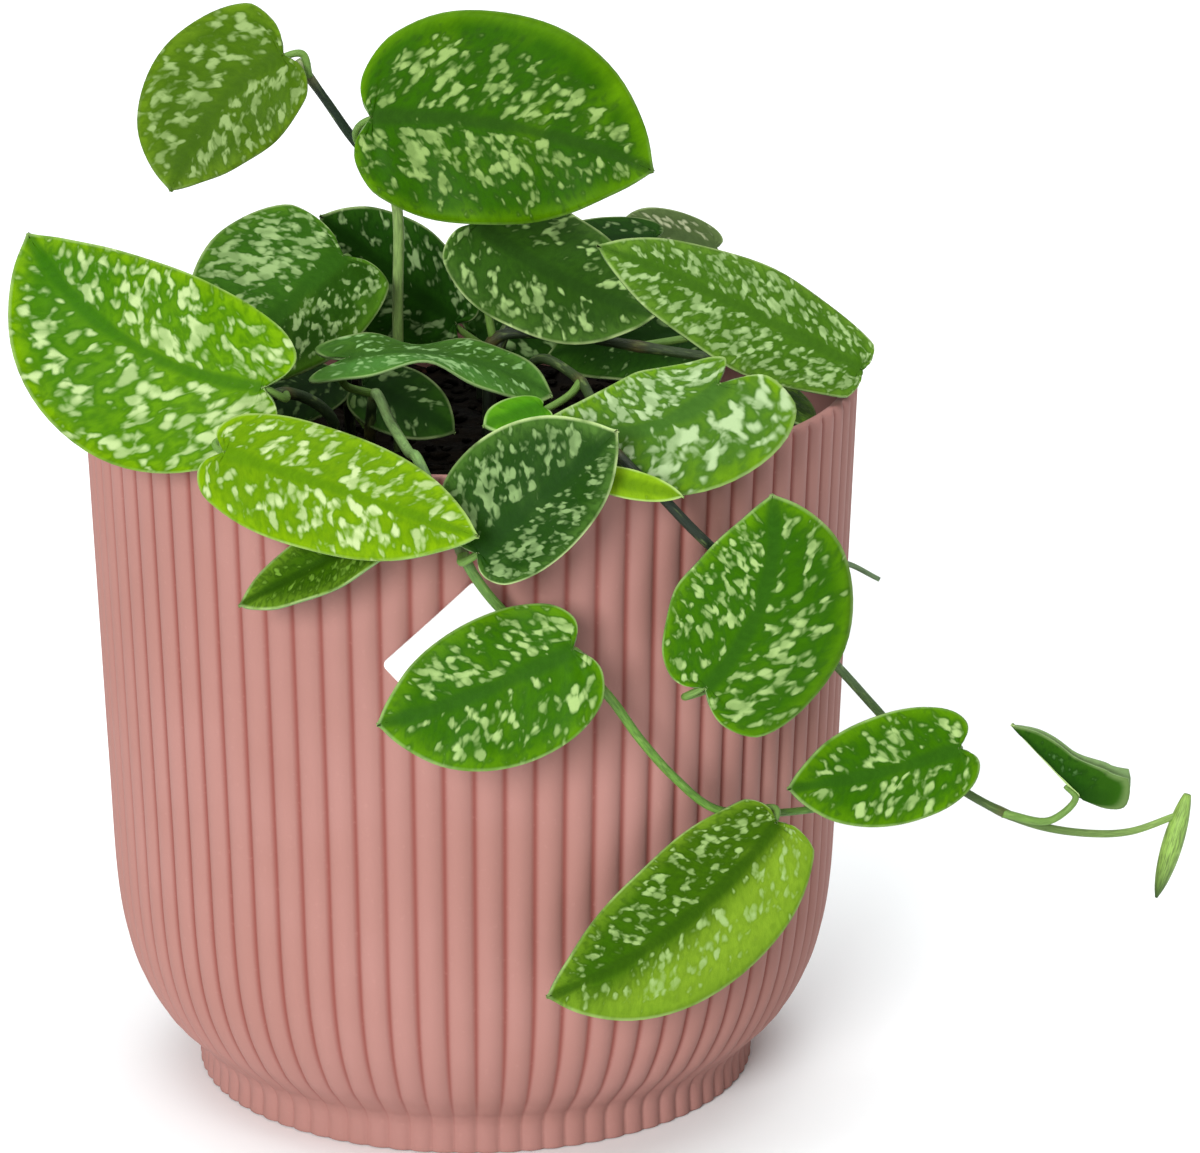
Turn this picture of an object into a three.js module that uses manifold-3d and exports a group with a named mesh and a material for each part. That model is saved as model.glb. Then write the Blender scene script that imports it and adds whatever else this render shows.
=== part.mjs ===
// Satin pothos (Scindapsus pictus) growing in a ribbed flower pot.
// Millimetres, +Z up. The origin is the middle of the pot's flat underside.
import * as THREE from 'three';
import { mergeVertices } from 'three/addons/utils/BufferGeometryUtils.js';
import Module from 'manifold-3d';

const wasm = await Module();
wasm.setup();

// ---- Driving dimensions -------------------------------------------------

const RIB_COUNT = 80;
const INNER_SIDES = 48;

// Outer face of the pot at the crest of a rib: [radius, height, depth of the ribs].
const POT_OUTSIDE = [
  [51.0, 0, 0.6], [50.9, 4.6, 0.6], [54.0, 8.6, 0.8], [58.6, 14, 1],
  [62.9, 23, 1.1], [65.3, 36, 1.1], [66.4, 60, 1.1], [69.0, 128, 1.1],
];
const RIM_TOP = 129;
const RIM_OUTER = 68.4;
const RIM_INNER = 66.8;

// Smooth inside of the pot, from the floor up.
const POT_INSIDE = [
  [45.0, 3], [47.0, 8], [54.0, 14.5], [59.5, 23], [62.2, 36], [63.6, 60], [66.4, 128],
];

const SOIL_TOP = 114;
const SOIL_GAP = 0.5;
const SOIL_SIDES = 40;
const SOIL_BUMP = 1.0;
const HOLE_FLOOR = 105;
const STEM_FOOT = 105.6;
const HOLE_CLEARANCE = 0.6;
const HOLE_SIDES = 10;

const LABEL_SIDE = 22;
const LABEL_TURN = 44 * Math.PI / 180;
const LABEL_HEIGHT = 95.6;
const LABEL_THICKNESS = 0.6;
const LABEL_GAP = 0.35;
const LABEL_CELLS = 6;

const BLADE_THICKNESS = 0.8;
const MITRE_LIMIT = 0.45;
const PETIOLE_RADIUS = 0.95;
const PETIOLE_SIDES = 5;
const STEM_SIDES = 6;
const ROOT_RADIUS = 0.7;

// Rolled young leaf: [share of its radius, share of its length].
const BUD_PROFILE = [[0, 0], [0.6, 0.1], [1, 0.4], [0.8, 0.75], [0, 1]];
const BUD_SIDES = 7;

// ---- Leaf form ----------------------------------------------------------

// Half outline of a blade from the notch to the tip. Each entry is
// [along, across, root]: along in blade lengths, across in half widths,
// and root is where the side vein to that point leaves the midrib.
const OUTLINE = [
  [0, 0, 0], [-0.07, 0.18, 0], [-0.09, 0.42, 0], [-0.01, 0.73, 0], [0.16, 0.94, 0.04],
  [0.37, 1.0, 0.18], [0.58, 0.91, 0.37], [0.77, 0.68, 0.59], [0.92, 0.31, 0.82], [1, 0, 1],
];
const VEIN_STEPS = [0, 0.55, 1];
const SMALL_BLADE = 17;
const SMALL_VEIN_STEPS = [0, 1];
const VEIN_SWEEP = 1.35;

// Shape words a leaf row may give; the rest are zero (lobe is one).
const FLAT = {
  skew: 0, arch: 0, fold: 0, curl: 0, sway: 0, wave: 0, phase: 0,
  asym: 0, narrow: 0, lean: 0, lobe: 1,
};

// ---- Leafy stems --------------------------------------------------------

// Each stem is a route of points from its foot in the soil to its growing
// tip. Each leaf gives its base, tip, the way it faces, its width, and
// where its stalk leaves the stem.
const VINES = {
  vine_upright: {
    colour: '#569a24',
    radius: 1.1,
    stem: [
      [-13, 2, STEM_FOOT], [-13, 2, 120], [-13, 1, 140], [-13, 0, 160], [-15, 0, 166],
      [-20, 0, 171], [-25, -1, 178.5], [-30, -2, 186],
    ],
    leaves: [
      { base: [-17, -8, 177], tip: [32, -12, 168], face: [0, -0.9, 0.45], width: 39.2,
        from: [-18, 0, 168], skew: 0.06, asym: 0.08, lobe: 0.7, lean: -0.25, curl: 0.1,
        wave: 0.8 },
      { base: [-32.5, -4, 187.2], tip: [-52, -12, 165], face: [-0.2, -0.93, 0.35], width: 26.5,
        from: [-28, -2, 183], skew: -0.09, asym: -0.16, lobe: 0.65, curl: 0.1, wave: 0.5 },
    ],
  },
  vine_front: {
    colour: '#3f7a2a',
    radius: 1.15,
    stem: [
      [-18, -9, STEM_FOOT], [-18, -10, 121], [-17, -15, 129], [-14, -30, 128], [-11, -46, 127.5],
      [-10, -60, 130.5], [-9, -68, 132], [-6, -74, 127], [-3, -75.5, 121], [0, -74, 114],
      [5, -73, 107], [14, -72, 99], [22, -71, 92], [28, -69, 83], [34, -66, 75], [41, -62, 68],
      [51, -56, 65], [61, -48, 63],
    ],
    leaves: [
      { base: [-21, -28.5, 139], tip: [14, -29.5, 132.2], face: [0.03, 0.02, 1], width: 18.8,
        from: [-17, -15, 129], via: [[-22, -20, 132]], sway: 2.3, arch: 0.1, lobe: 1.85,
        wave: 0.9, phase: 0.15, asym: 0.04 },
      { base: [-19, -4, 127.5], tip: [-3, -10, 120.5], face: [0, -0.6, 0.8], width: 15,
        from: [-18, -10, 121], via: [[-21, -7, 125]], arch: 0.05 },
      { base: [1, -79, 119], tip: [24, -75, 138.5], face: [-0.1, -0.95, 0.3], width: 23.5,
        from: [-1.5, -75, 118], lobe: 0.7, asym: 0.2, curl: 0.12, wave: 0.4 },
      { base: [-14, -76, 122], tip: [-39, -69, 107], face: [-0.3, -0.7, 0.6], width: 12,
        from: [-4, -75, 123], fold: 0.2, wave: 0.4 },
      { base: [16.3, -77, 101.5], tip: [-16, -82, 90.3], face: [0.1, -0.95, 0.3], width: 25.5,
        from: [21, -71, 94], via: [[19, -74, 98]], skew: 0.03, asym: 0.1, lobe: 0.9, wave: 0.6 },
      { base: [51.5, -61, 65], tip: [12, -75, 39], face: [0.3, -0.95, 0.2], width: 27,
        from: [47, -58, 66], skew: 0.08, asym: 0.12, narrow: 0.2, lobe: 0.3, curl: 0.1, wave: 0.6 },
    ],
  },
  vine_right: {
    colour: '#4c8f2b',
    radius: 1.05,
    stem: [
      [7, -12, STEM_FOOT], [7, -12, 122], [9, -13, 131], [12, -16, 135.5], [18, -24, 134.5],
      [21, -40, 133.5], [22.5, -54, 133.5], [23, -64, 133], [26, -69.5, 131], [31, -69, 126],
      [36.5, -67, 119.5], [43, -63, 112], [52, -56, 101],
      [62, -46, 89], [70, -38, 78], [79, -35, 67], [89, -33, 59], [100, -30, 53],
      [110, -29, 51], [117, -28, 51], [125, -27, 53.5],
    ],
    leaves: [
      { base: [41, -61, 142.5], tip: [12.5, -65, 138], face: [0.25, -0.85, 0.45], width: 22,
        from: [22.5, -54, 133.5], asym: 0.12, narrow: 0.22, skew: 0.17, lobe: 1.3, lean: 1.15,
        curl: 0.1, wave: 0.4 },
      { base: [20, -73, 130.3], tip: [35, -73.5, 126.8], face: [0.1, -0.93, 0.3], width: 5,
        from: [24.5, -67, 132.3] },
      { base: [12, -40, 133], tip: [2, -46, 131.5], face: [0, -0.6, 0.8], width: 9,
        from: [19, -27, 134.3], curl: 0.15 },
      { base: [39, -70, 92.5], tip: [50, -65, 124.6], face: [0.3, -0.9, 0.3], width: 32.2,
        from: [52, -56, 101], via: [[43, -64, 92], [35.5, -68.5, 90.3]],
        skew: -0.12, asym: -0.13, lobe: 0.8, curl: 0.12, wave: 0.6 },
      { base: [84, -46, 73], tip: [53.8, -55.4, 69.2], face: [0.35, -0.9, 0.3], width: 19.5,
        from: [79, -35, 67], skew: 0.03, wave: 0.4 },
      { base: [107.3, -30, 58.6], tip: [95, -30, 72], face: [0.74, -0.2, 0.66], width: 1.8,
        from: [93.5, -32, 56], via: [[102, -31, 54.2]], fold: 5.6, lobe: 3.8, narrow: -1.2 },
    ],
    buds: [{ from: [127, -27, 57.5], to: [122, -27, 38], radius: 1.9 }],
    roots: [[[54, -54, 99], [60, -43, 103], [65, -32, 102.5], [71, -32, 99.5]]],
  },
  vine_left: {
    colour: '#7cb51f',
    radius: 1.2,
    stem: [
      [-24, -27, STEM_FOOT], [-24, -27, 119], [-24, -35, 130], [-29, -42, 136], [-34, -50, 138],
      [-38, -58, 135], [-41, -63, 133],
    ],
    leaves: [
      { base: [-35, -55, 141], tip: [-75, -36, 163.2], face: [-0.3, -0.85, 0.45], width: 35,
        from: [-31.5, -46, 137.5], skew: 0.12, asym: 0.13, lean: -0.3, curl: 0.1, wave: 0.7 },
      { base: [-41, -65, 132.5], tip: [1, -87, 124], face: [-0.2, -0.75, 0.6], width: 21.4,
        from: [-40, -61, 134], lobe: 0.7, asym: -0.05, curl: 0.1, wave: 0.4 },
    ],
  },
  vine_shade: {
    colour: '#3d7327',
    radius: 1.2,
    stem: [[-22, 8, STEM_FOOT], [-22, 8, 119], [-23, 6, 130], [-24, 4, 139], [-24, 2, 147]],
    leaves: [
      { base: [-22.5, -3, 151], tip: [-43.5, -22, 133.5], face: [-0.1, -0.93, 0.35], width: 31,
        from: [-24, 2, 145], skew: -0.03, asym: -0.18, lean: 0.3, lobe: 0.6, curl: 0.1,
        wave: 0.6 },
      { base: [-25, -1, 128], tip: [-42, -10, 121], face: [-0.1, -0.5, 0.85], width: 15,
        from: [-23.5, 6, 128], arch: 0.05 },
      { base: [-34, 12, 138], tip: [-54, 18, 131], face: [-0.3, 0.1, 0.95], width: 22,
        from: [-24, 4, 136], arch: 0.08, wave: 0.5 },
    ],
  },
  vine_rim: {
    colour: '#4f8133',
    radius: 1.2,
    stem: [
      [3, 12, STEM_FOOT], [3, 12, 122], [4, 11, 132], [14, 8, 134], [30, 2, 133], [47, -6, 132.5],
      [62, -14, 134],
    ],
    leaves: [
      { base: [1.5, 5, 155], tip: [33, -7, 141], face: [-0.2, -0.7, 0.7], width: 25,
        from: [4, 11, 132], via: [[2, 10, 145]], skew: -0.06, lobe: 0.6, curl: 0.1, wave: 0.6 },
      { base: [68, -21, 134.5], tip: [22, -17, 156], face: [0.2, -0.75, 0.65], width: 21.5,
        from: [60, -13, 134], skew: -0.02, asym: 0.03, narrow: 0.25, lobe: 0.2, curl: 0.1,
        wave: 0.5 },
      { base: [53, -13, 130.5], tip: [57, -31, 127], face: [0.45, -0.45, 0.8], width: 12,
        from: [45, -5, 132.5] },
      { base: [42, 12, 133], tip: [14, 19, 127], face: [0.1, -0.7, 0.7], width: 18,
        from: [30, 2, 133], arch: 0.06, wave: 0.5 },
    ],
  },
  vine_back_right: {
    colour: '#35611f',
    radius: 1.3,
    stem: [
      [4, 26, STEM_FOOT], [4, 26, 122], [8, 27, 132], [20, 30, 136], [32, 36, 137], [38, 48, 136],
      [42, 56, 133.5], [46, 60, 127], [47, 60, 116], [46, 60, 104], [43, 61, 92], [41, 62, 80],
    ],
    leaves: [
      { base: [-3, 20, 133], tip: [-27, 16, 154], face: [0.2, -0.8, 0.6], width: 24,
        from: [4, 26, 126], curl: 0.1, wave: 0.5 },
      { base: [33.5, 24, 147.5], tip: [12, 22, 147], face: [0.1, -0.5, 0.87], width: 14,
        from: [20, 30, 136], via: [[28, 28, 144]], curl: 0.1 },
      { base: [45, 34, 143.5], tip: [28, 31, 149.5], face: [0.1, -0.5, 0.87], width: 15,
        from: [32, 36, 137], via: [[40, 36, 141]], curl: 0.1 },
      { base: [53, 58, 112], tip: [52, 57, 86], face: [0.65, 0.75, 0.15], width: 21,
        from: [47, 60, 116], curl: 0.12, wave: 0.5 },
      { base: [40, 68, 104], tip: [22, 74, 88], face: [0.4, 0.9, 0.15], width: 22,
        from: [46, 60, 104], curl: 0.12, wave: 0.5 },
      { base: [42, 67, 78], tip: [38, 66, 54], face: [0.5, 0.85, 0.1], width: 20,
        from: [42, 62, 85], curl: 0.12, wave: 0.5 },
    ],
  },
  vine_back_left: {
    colour: '#4a8424',
    radius: 1.3,
    stem: [
      [-20, 30, STEM_FOOT], [-20, 31, 122], [-24, 42, 131], [-31, 56, 133.5], [-35, 62, 132],
      [-38, 65, 124], [-38, 65, 112], [-36, 66, 97], [-32, 67, 82], [-27, 68, 68], [-23, 68, 56],
    ],
    leaves: [
      { base: [-33, 42, 138], tip: [-57, 34, 136], face: [-0.2, 0.2, 0.95], width: 22,
        from: [-25, 44, 131.5], arch: 0.08, wave: 0.6 },
      { base: [-43, 68, 121], tip: [-58, 58, 99], face: [-0.6, 0.78, 0.15], width: 22,
        from: [-38, 65, 118], curl: 0.12, wave: 0.5 },
      { base: [-31, 73, 104], tip: [-9, 80, 92], face: [-0.3, 0.94, 0.15], width: 24,
        from: [-37, 66, 103], curl: 0.12, wave: 0.6 },
      { base: [-38, 71, 86], tip: [-52, 62, 62], face: [-0.55, 0.82, 0.15], width: 23,
        from: [-33, 67, 86], curl: 0.12, wave: 0.5 },
      { base: [-21, 72, 58], tip: [-10, 72, 33], face: [-0.2, 0.97, 0.1], width: 23,
        from: [-24, 68, 60], curl: 0.12, wave: 0.6 },
    ],
  },
  vine_back: {
    colour: '#417a22',
    radius: 1.2,
    stem: [
      [2, 38, STEM_FOOT], [2, 39, 122], [3, 48, 131], [4, 62, 133], [5, 70, 132], [6, 75, 125],
      [6, 75.5, 112], [7, 75, 99],
    ],
    leaves: [
      { base: [1, 34, 127], tip: [23, 36, 131], face: [0, -0.85, 0.5], width: 16,
        from: [2, 38, 122], via: [[0, 37, 125]] },
      { base: [-6, 46, 137], tip: [-27, 52, 134], face: [0, 0.1, 1], width: 20,
        from: [3, 46, 130], arch: 0.08, wave: 0.5 },
      { base: [13, 66, 137], tip: [16, 91, 124], face: [0.1, 0.45, 0.9], width: 23,
        from: [4, 62, 133], arch: 0.08, wave: 0.6 },
      { base: [0, 80, 122], tip: [-22, 80, 106], face: [-0.1, 0.98, 0.2], width: 21,
        from: [6, 75.5, 120], curl: 0.12, wave: 0.5 },
      { base: [10, 79, 94], tip: [13, 78, 66], face: [0.15, 0.97, 0.1], width: 23,
        from: [7, 75, 101], curl: 0.12, wave: 0.5 },
    ],
  },
};

// ---- Helpers ------------------------------------------------------------

const vec = (p) => new THREE.Vector3(p[0], p[1], p[2]);

/** A solid for the boolean library, from any closed three.js geometry. */
function solidOf(geometry) {
  const bare = geometry.clone();
  bare.deleteAttribute('normal');
  bare.deleteAttribute('uv');
  const merged = mergeVertices(bare, 1e-4);
  return new wasm.Manifold(new wasm.Mesh({
    numProp: 3,
    vertProperties: new Float32Array(merged.attributes.position.array),
    triVerts: new Uint32Array(merged.index.array),
  }));
}

/** A three.js geometry from a solid of the boolean library. */
function geometryOf(solid) {
  const mesh = solid.getMesh();
  const geometry = new THREE.BufferGeometry();
  const places = new Float32Array(mesh.vertProperties);
  geometry.setAttribute('position', new THREE.BufferAttribute(places, 3));
  geometry.setIndex(new THREE.BufferAttribute(new Uint32Array(mesh.triVerts), 1));
  return geometry;
}

function geometryFrom(points, triangles) {
  const geometry = new THREE.BufferGeometry();
  const flat = points.flatMap((p) => [p.x, p.y, p.z]);
  geometry.setAttribute('position', new THREE.Float32BufferAttribute(flat, 3));
  geometry.setIndex(triangles);
  return geometry;
}

/** A smooth route whose even steps fall on its own points. */
class Route extends THREE.CatmullRomCurve3 {
  getUtoTmapping(u) {
    return u;
  }
}

/** A round bar of few sides along a route through the given points. */
function tube(points, radius, sides) {
  const path = new Route(points.map(vec), false, 'centripetal');
  const section = new THREE.Shape();
  for (let i = 0; i < sides; i += 1) {
    const angle = 2 * Math.PI * i / sides;
    const x = radius * Math.cos(angle);
    const y = radius * Math.sin(angle);
    if (i === 0) section.moveTo(x, y);
    else section.lineTo(x, y);
  }
  section.closePath();
  const steps = points.length - 1;
  return new THREE.ExtrudeGeometry(section, { steps, extrudePath: path, bevelEnabled: false });
}

// ---- Surfaces made of rings ---------------------------------------------

/** Triangles between two rings of any counts; both run the same way round. */
function stitch(lower, upper, triangles) {
  let i = 0;
  let j = 0;
  while (i < lower.length || j < upper.length) {
    const a = lower[i % lower.length];
    const b = upper[j % upper.length];
    const lowerNext = (i + 1) / lower.length;
    const upperNext = (j + 1) / upper.length;
    if (j >= upper.length || (i < lower.length && lowerNext <= upperNext)) {
      i += 1;
      triangles.push(a, lower[i % lower.length], b);
    } else {
      j += 1;
      triangles.push(a, upper[j % upper.length], b);
    }
  }
}

/** A closed skin through rings of points, with a centre point at each end. */
function ringSkin(rings, startCentre, endCentre) {
  const points = [startCentre];
  const triangles = [];
  const indexed = rings.map((ring) => ring.map((p) => points.push(p) - 1));
  const first = indexed[0];
  first.forEach((v, k) => triangles.push(0, first[(k + 1) % first.length], v));
  for (let k = 0; k + 1 < indexed.length; k += 1) stitch(indexed[k], indexed[k + 1], triangles);
  const end = points.push(endCentre) - 1;
  const last = indexed[indexed.length - 1];
  last.forEach((v, k) => triangles.push(end, v, last[(k + 1) % last.length]));
  return geometryFrom(points, triangles);
}

function roundRing(radius, height, sides) {
  return Array.from({ length: sides }, (_, k) => {
    const angle = 2 * Math.PI * k / sides;
    return new THREE.Vector3(radius * Math.cos(angle), radius * Math.sin(angle), height);
  });
}

/** A ring round the ribs: a crease, then a crest, for each rib. */
function ribbedRing(radius, height, depth) {
  return Array.from({ length: RIB_COUNT * 2 }, (_, k) => {
    const angle = Math.PI * k / RIB_COUNT;
    const r = k % 2 === 0 ? radius - depth : radius;
    return new THREE.Vector3(r * Math.cos(angle), r * Math.sin(angle), height);
  });
}

/** Radius of a profile of [radius, height] entries at a height. */
function radiusAt(profile, height) {
  for (let k = 0; k + 1 < profile.length; k += 1) {
    const [r0, z0] = profile[k];
    const [r1, z1] = profile[k + 1];
    if (height <= z1) return r0 + (r1 - r0) * (height - z0) / (z1 - z0);
  }
  return profile[profile.length - 1][0];
}

// ---- Pot, soil and label ------------------------------------------------

function potGeometry() {
  const outside = POT_OUTSIDE.map(([r, z, depth]) => ribbedRing(r, z, depth));
  const rim = [RIM_OUTER, RIM_INNER].map((r) => roundRing(r, RIM_TOP, INNER_SIDES));
  const inside = POT_INSIDE.slice().reverse().map(([r, z]) => roundRing(r, z, INNER_SIDES));
  const floor = new THREE.Vector3(0, 0, POT_INSIDE[0][1]);
  return ringSkin([...outside, ...rim, ...inside], new THREE.Vector3(0, 0, 0), floor);
}

/** Root ball and soil, filling the pot; its top is gently uneven. */
function soilGeometry() {
  const side = POT_INSIDE.filter(([, z]) => z < SOIL_TOP - 4);
  side.push([radiusAt(POT_INSIDE, SOIL_TOP - 2), SOIL_TOP - 2]);
  const rings = side.map(([r, z]) => roundRing(r - SOIL_GAP, z + SOIL_GAP, SOIL_SIDES));
  const edge = side[side.length - 1][0] - SOIL_GAP;
  for (const share of [0.9, 0.65, 0.35]) {
    const ring = roundRing(edge * share, SOIL_TOP, share > 0.5 ? SOIL_SIDES : SOIL_SIDES / 2);
    ring.forEach((p) => {
      p.z += SOIL_BUMP * Math.sin(p.x * 0.31) * Math.cos(p.y * 0.27 + 1);
    });
    rings.push(ring);
  }
  const foot = new THREE.Vector3(0, 0, side[0][1] + SOIL_GAP);
  return ringSkin(rings, foot, new THREE.Vector3(0, 0, SOIL_TOP + SOIL_BUMP));
}

/** Soil with a plain blind hole for the foot of each stem. */
function pottedSoil() {
  let soil = solidOf(soilGeometry());
  for (const vine of Object.values(VINES)) {
    const [x, y] = vine.stem[0];
    const depth = SOIL_TOP + 6 - HOLE_FLOOR;
    const radius = vine.radius + HOLE_CLEARANCE;
    const hole = new THREE.CylinderGeometry(radius, radius, depth, HOLE_SIDES);
    hole.rotateX(Math.PI / 2);
    hole.translate(x, y, HOLE_FLOOR + depth / 2);
    soil = soil.subtract(solidOf(hole));
  }
  return geometryOf(soil);
}

/** A square card standing on one corner, bent to the front of the pot. */
function labelGeometry() {
  const cells = LABEL_CELLS;
  const points = [];
  const triangles = [];
  for (const lift of [0, LABEL_THICKNESS]) {
    for (let i = 0; i <= cells; i += 1) {
      for (let j = 0; j <= cells; j += 1) {
        const u = LABEL_SIDE * (i / cells - 0.5);
        const v = LABEL_SIDE * (j / cells - 0.5);
        const across = u * Math.cos(LABEL_TURN) - v * Math.sin(LABEL_TURN);
        const z = LABEL_HEIGHT + u * Math.sin(LABEL_TURN) + v * Math.cos(LABEL_TURN);
        const r = radiusAt(POT_OUTSIDE, z) + LABEL_GAP + lift;
        const angle = -Math.PI / 2 + across / r;
        points.push(new THREE.Vector3(r * Math.cos(angle), r * Math.sin(angle), z));
      }
    }
  }
  const row = cells + 1;
  const face = row * row;
  const at = (i, j, layer) => layer * face + i * row + j;
  for (let i = 0; i < cells; i += 1) {
    for (let j = 0; j < cells; j += 1) {
      triangles.push(at(i, j, 1), at(i + 1, j, 1), at(i + 1, j + 1, 1));
      triangles.push(at(i, j, 1), at(i + 1, j + 1, 1), at(i, j + 1, 1));
      triangles.push(at(i, j, 0), at(i + 1, j + 1, 0), at(i + 1, j, 0));
      triangles.push(at(i, j, 0), at(i, j + 1, 0), at(i + 1, j + 1, 0));
    }
  }
  const border = [];
  for (let k = 0; k < cells; k += 1) border.push([k, 0]);
  for (let k = 0; k < cells; k += 1) border.push([cells, k]);
  for (let k = cells; k > 0; k -= 1) border.push([k, cells]);
  for (let k = cells; k > 0; k -= 1) border.push([0, k]);
  border.forEach(([i, j], k) => {
    const [i2, j2] = border[(k + 1) % border.length];
    triangles.push(at(i, j, 0), at(i2, j2, 0), at(i2, j2, 1));
    triangles.push(at(i, j, 0), at(i2, j2, 1), at(i, j, 1));
  });
  return geometryFrom(points, triangles);
}

// ---- Leaves -------------------------------------------------------------

/** The blade's own axes: along it, across it, and out of its face. */
function leafFrame(row) {
  const leaf = { ...FLAT, ...row };
  leaf.origin = vec(row.base);
  leaf.along = vec(row.tip).sub(leaf.origin);
  leaf.length = leaf.along.length();
  leaf.along.normalize();
  const face = vec(row.face);
  leaf.out = face.addScaledVector(leaf.along, -face.dot(leaf.along)).normalize();
  leaf.side = new THREE.Vector3().crossVectors(leaf.out, leaf.along);
  return leaf;
}

/** Point of the blade's middle surface at a share of length and half width. */
function bladePoint(leaf, alongShare, across) {
  const a = alongShare < 0 ? alongShare * leaf.lobe : alongShare;
  const ahead = Math.max(a, 0);
  const behind = Math.min(a, 0);
  const half = leaf.width / 2;
  const waist = Math.min(Math.max(1 - a / 0.45, 0), 1.3);
  const share = (1 + leaf.asym * Math.sign(across)) * (1 - leaf.narrow * waist * waist);
  const y = across * half * share;
  const bow = 4 * (ahead * (1 - ahead) + behind);
  const slope = 4 * leaf.skew * (1 - 2 * ahead);
  const turn = 1 / Math.hypot(1, slope);
  const soft = leaf.width * 0.06;
  const phase = 2 * Math.PI * (2 * a + leaf.phase + (across > 0 ? 0 : 0.37));
  const rise = leaf.arch * leaf.length * bow
    + leaf.fold * (Math.hypot(y, soft) - soft)
    - leaf.curl * y * y / half
    + leaf.sway * y * (a - 0.35) ** 2
    + leaf.wave * Math.abs(across) ** 1.6 * Math.sin(phase);
  const slant = y * slope * turn + leaf.lean * Math.max(y, 0) * (1 - ahead) ** 2;
  return leaf.origin.clone()
    .addScaledVector(leaf.along, a * leaf.length - slant)
    .addScaledVector(leaf.side, leaf.skew * leaf.length * bow + y * turn)
    .addScaledVector(leaf.out, rise);
}

/** Middle surface of a blade: rows of side veins from midrib to margin. */
function bladeSheet(leaf) {
  const points = [];
  const triangles = [];
  const rim = [];
  const last = OUTLINE.length - 1;
  const steps = leaf.width < SMALL_BLADE ? SMALL_VEIN_STEPS : VEIN_STEPS;
  const add = (a, s) => points.push(bladePoint(leaf, a, s)) - 1;
  const base = add(0, 0);
  const tip = add(1, 0);
  const midrib = OUTLINE.map(([, , root], i) => {
    if (root === 0) return base;
    return i === last ? tip : add(root, 0);
  });
  for (const side of [1, -1]) {
    const rows = OUTLINE.map(([along, across, root], i) => steps.map((t, j) => {
      if (i === 0) return base;
      if (i === last) return tip;
      if (j === 0) return midrib[i];
      return add(root + (along - root) * t ** VEIN_SWEEP, side * across * t);
    }));
    for (let i = 0; i < last; i += 1) {
      for (let j = 0; j + 1 < steps.length; j += 1) {
        const [a, b, c, d] = [rows[i][j], rows[i + 1][j], rows[i + 1][j + 1], rows[i][j + 1]];
        for (const [p, q, r] of [[a, b, c], [a, c, d]]) {
          if (p === q || q === r || p === r) continue;
          triangles.push(side > 0 ? [p, q, r] : [p, r, q]);
        }
      }
    }
    const margin = rows.map((r) => r[steps.length - 1]);
    rim.push(side > 0 ? margin.reverse() : margin);
  }
  const loop = [...rim[0].slice(0, -1), ...rim[1].slice(0, -1)];
  return { points, triangles, loop };
}

/** A blade of even thickness, with both faces split into triangles alike. */
function bladeGeometry(leaf) {
  const { points, triangles, loop } = bladeSheet(leaf);
  const normals = points.map(() => new THREE.Vector3());
  const flats = triangles.map(([a, b, c]) => {
    const edge = points[b].clone().sub(points[a]);
    return edge.cross(points[c].clone().sub(points[a])).normalize();
  });
  triangles.forEach((corners, k) => corners.forEach((v) => normals[v].add(flats[k])));
  normals.forEach((normal) => normal.normalize());
  const reach = points.map(() => 1);
  triangles.forEach((corners, k) => corners.forEach((v) => {
    reach[v] = Math.min(reach[v], Math.max(flats[k].dot(normals[v]), MITRE_LIMIT));
  }));
  const layer = (lift) => points.map((p, i) => (
    p.clone().addScaledVector(normals[i], lift / reach[i])
  ));
  const all = [...layer(BLADE_THICKNESS / 2), ...layer(-BLADE_THICKNESS / 2)];
  const under = points.length;
  const faces = [];
  for (const [a, b, c] of triangles) {
    faces.push(a, b, c, a + under, c + under, b + under);
  }
  loop.forEach((v, k) => {
    const w = loop[(k + 1) % loop.length];
    faces.push(v, v + under, w + under, v, w + under, w);
  });
  return geometryFrom(all, faces);
}

/** Leaf stalk from the stem to the notch, running on under the midrib. */
function stalkGeometry(leaf) {
  const under = leaf.out.clone().multiplyScalar(-0.5);
  const notch = bladePoint(leaf, 0, 0).add(under);
  const hold = bladePoint(leaf, 0.16, 0).add(under);
  const start = vec(leaf.from);
  const bend = start.clone().lerp(notch, 0.6).addScaledVector(leaf.along, -2.5).toArray();
  const route = [leaf.from, ...(leaf.via ?? [bend]), notch.toArray(), hold.toArray()];
  return tube(route, PETIOLE_RADIUS, PETIOLE_SIDES);
}

/** A young leaf still rolled up: a slim spindle from one point to another. */
function budGeometry(bud) {
  const axis = vec(bud.to).sub(vec(bud.from));
  const length = axis.length();
  const profile = BUD_PROFILE.map(([r, t]) => new THREE.Vector2(r * bud.radius, t * length));
  const spindle = new THREE.LatheGeometry(profile, BUD_SIDES);
  const up = new THREE.Vector3(0, 1, 0);
  spindle.applyQuaternion(new THREE.Quaternion().setFromUnitVectors(up, axis.normalize()));
  spindle.translate(...bud.from);
  return spindle;
}

/** One leafy stem as a single solid: the stem, its stalks and its blades. */
function vineGeometry(vine) {
  let plant = solidOf(tube(vine.stem, vine.radius, STEM_SIDES));
  const grow = (geometry) => {
    plant = plant.add(solidOf(geometry));
  };
  for (const row of vine.leaves) {
    const leaf = leafFrame(row);
    grow(stalkGeometry(leaf));
    grow(bladeGeometry(leaf));
  }
  for (const bud of vine.buds ?? []) grow(budGeometry(bud));
  for (const route of vine.roots ?? []) grow(tube(route, ROOT_RADIUS, PETIOLE_SIDES));
  return geometryOf(plant);
}

// ---- Assembly -----------------------------------------------------------

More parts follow.
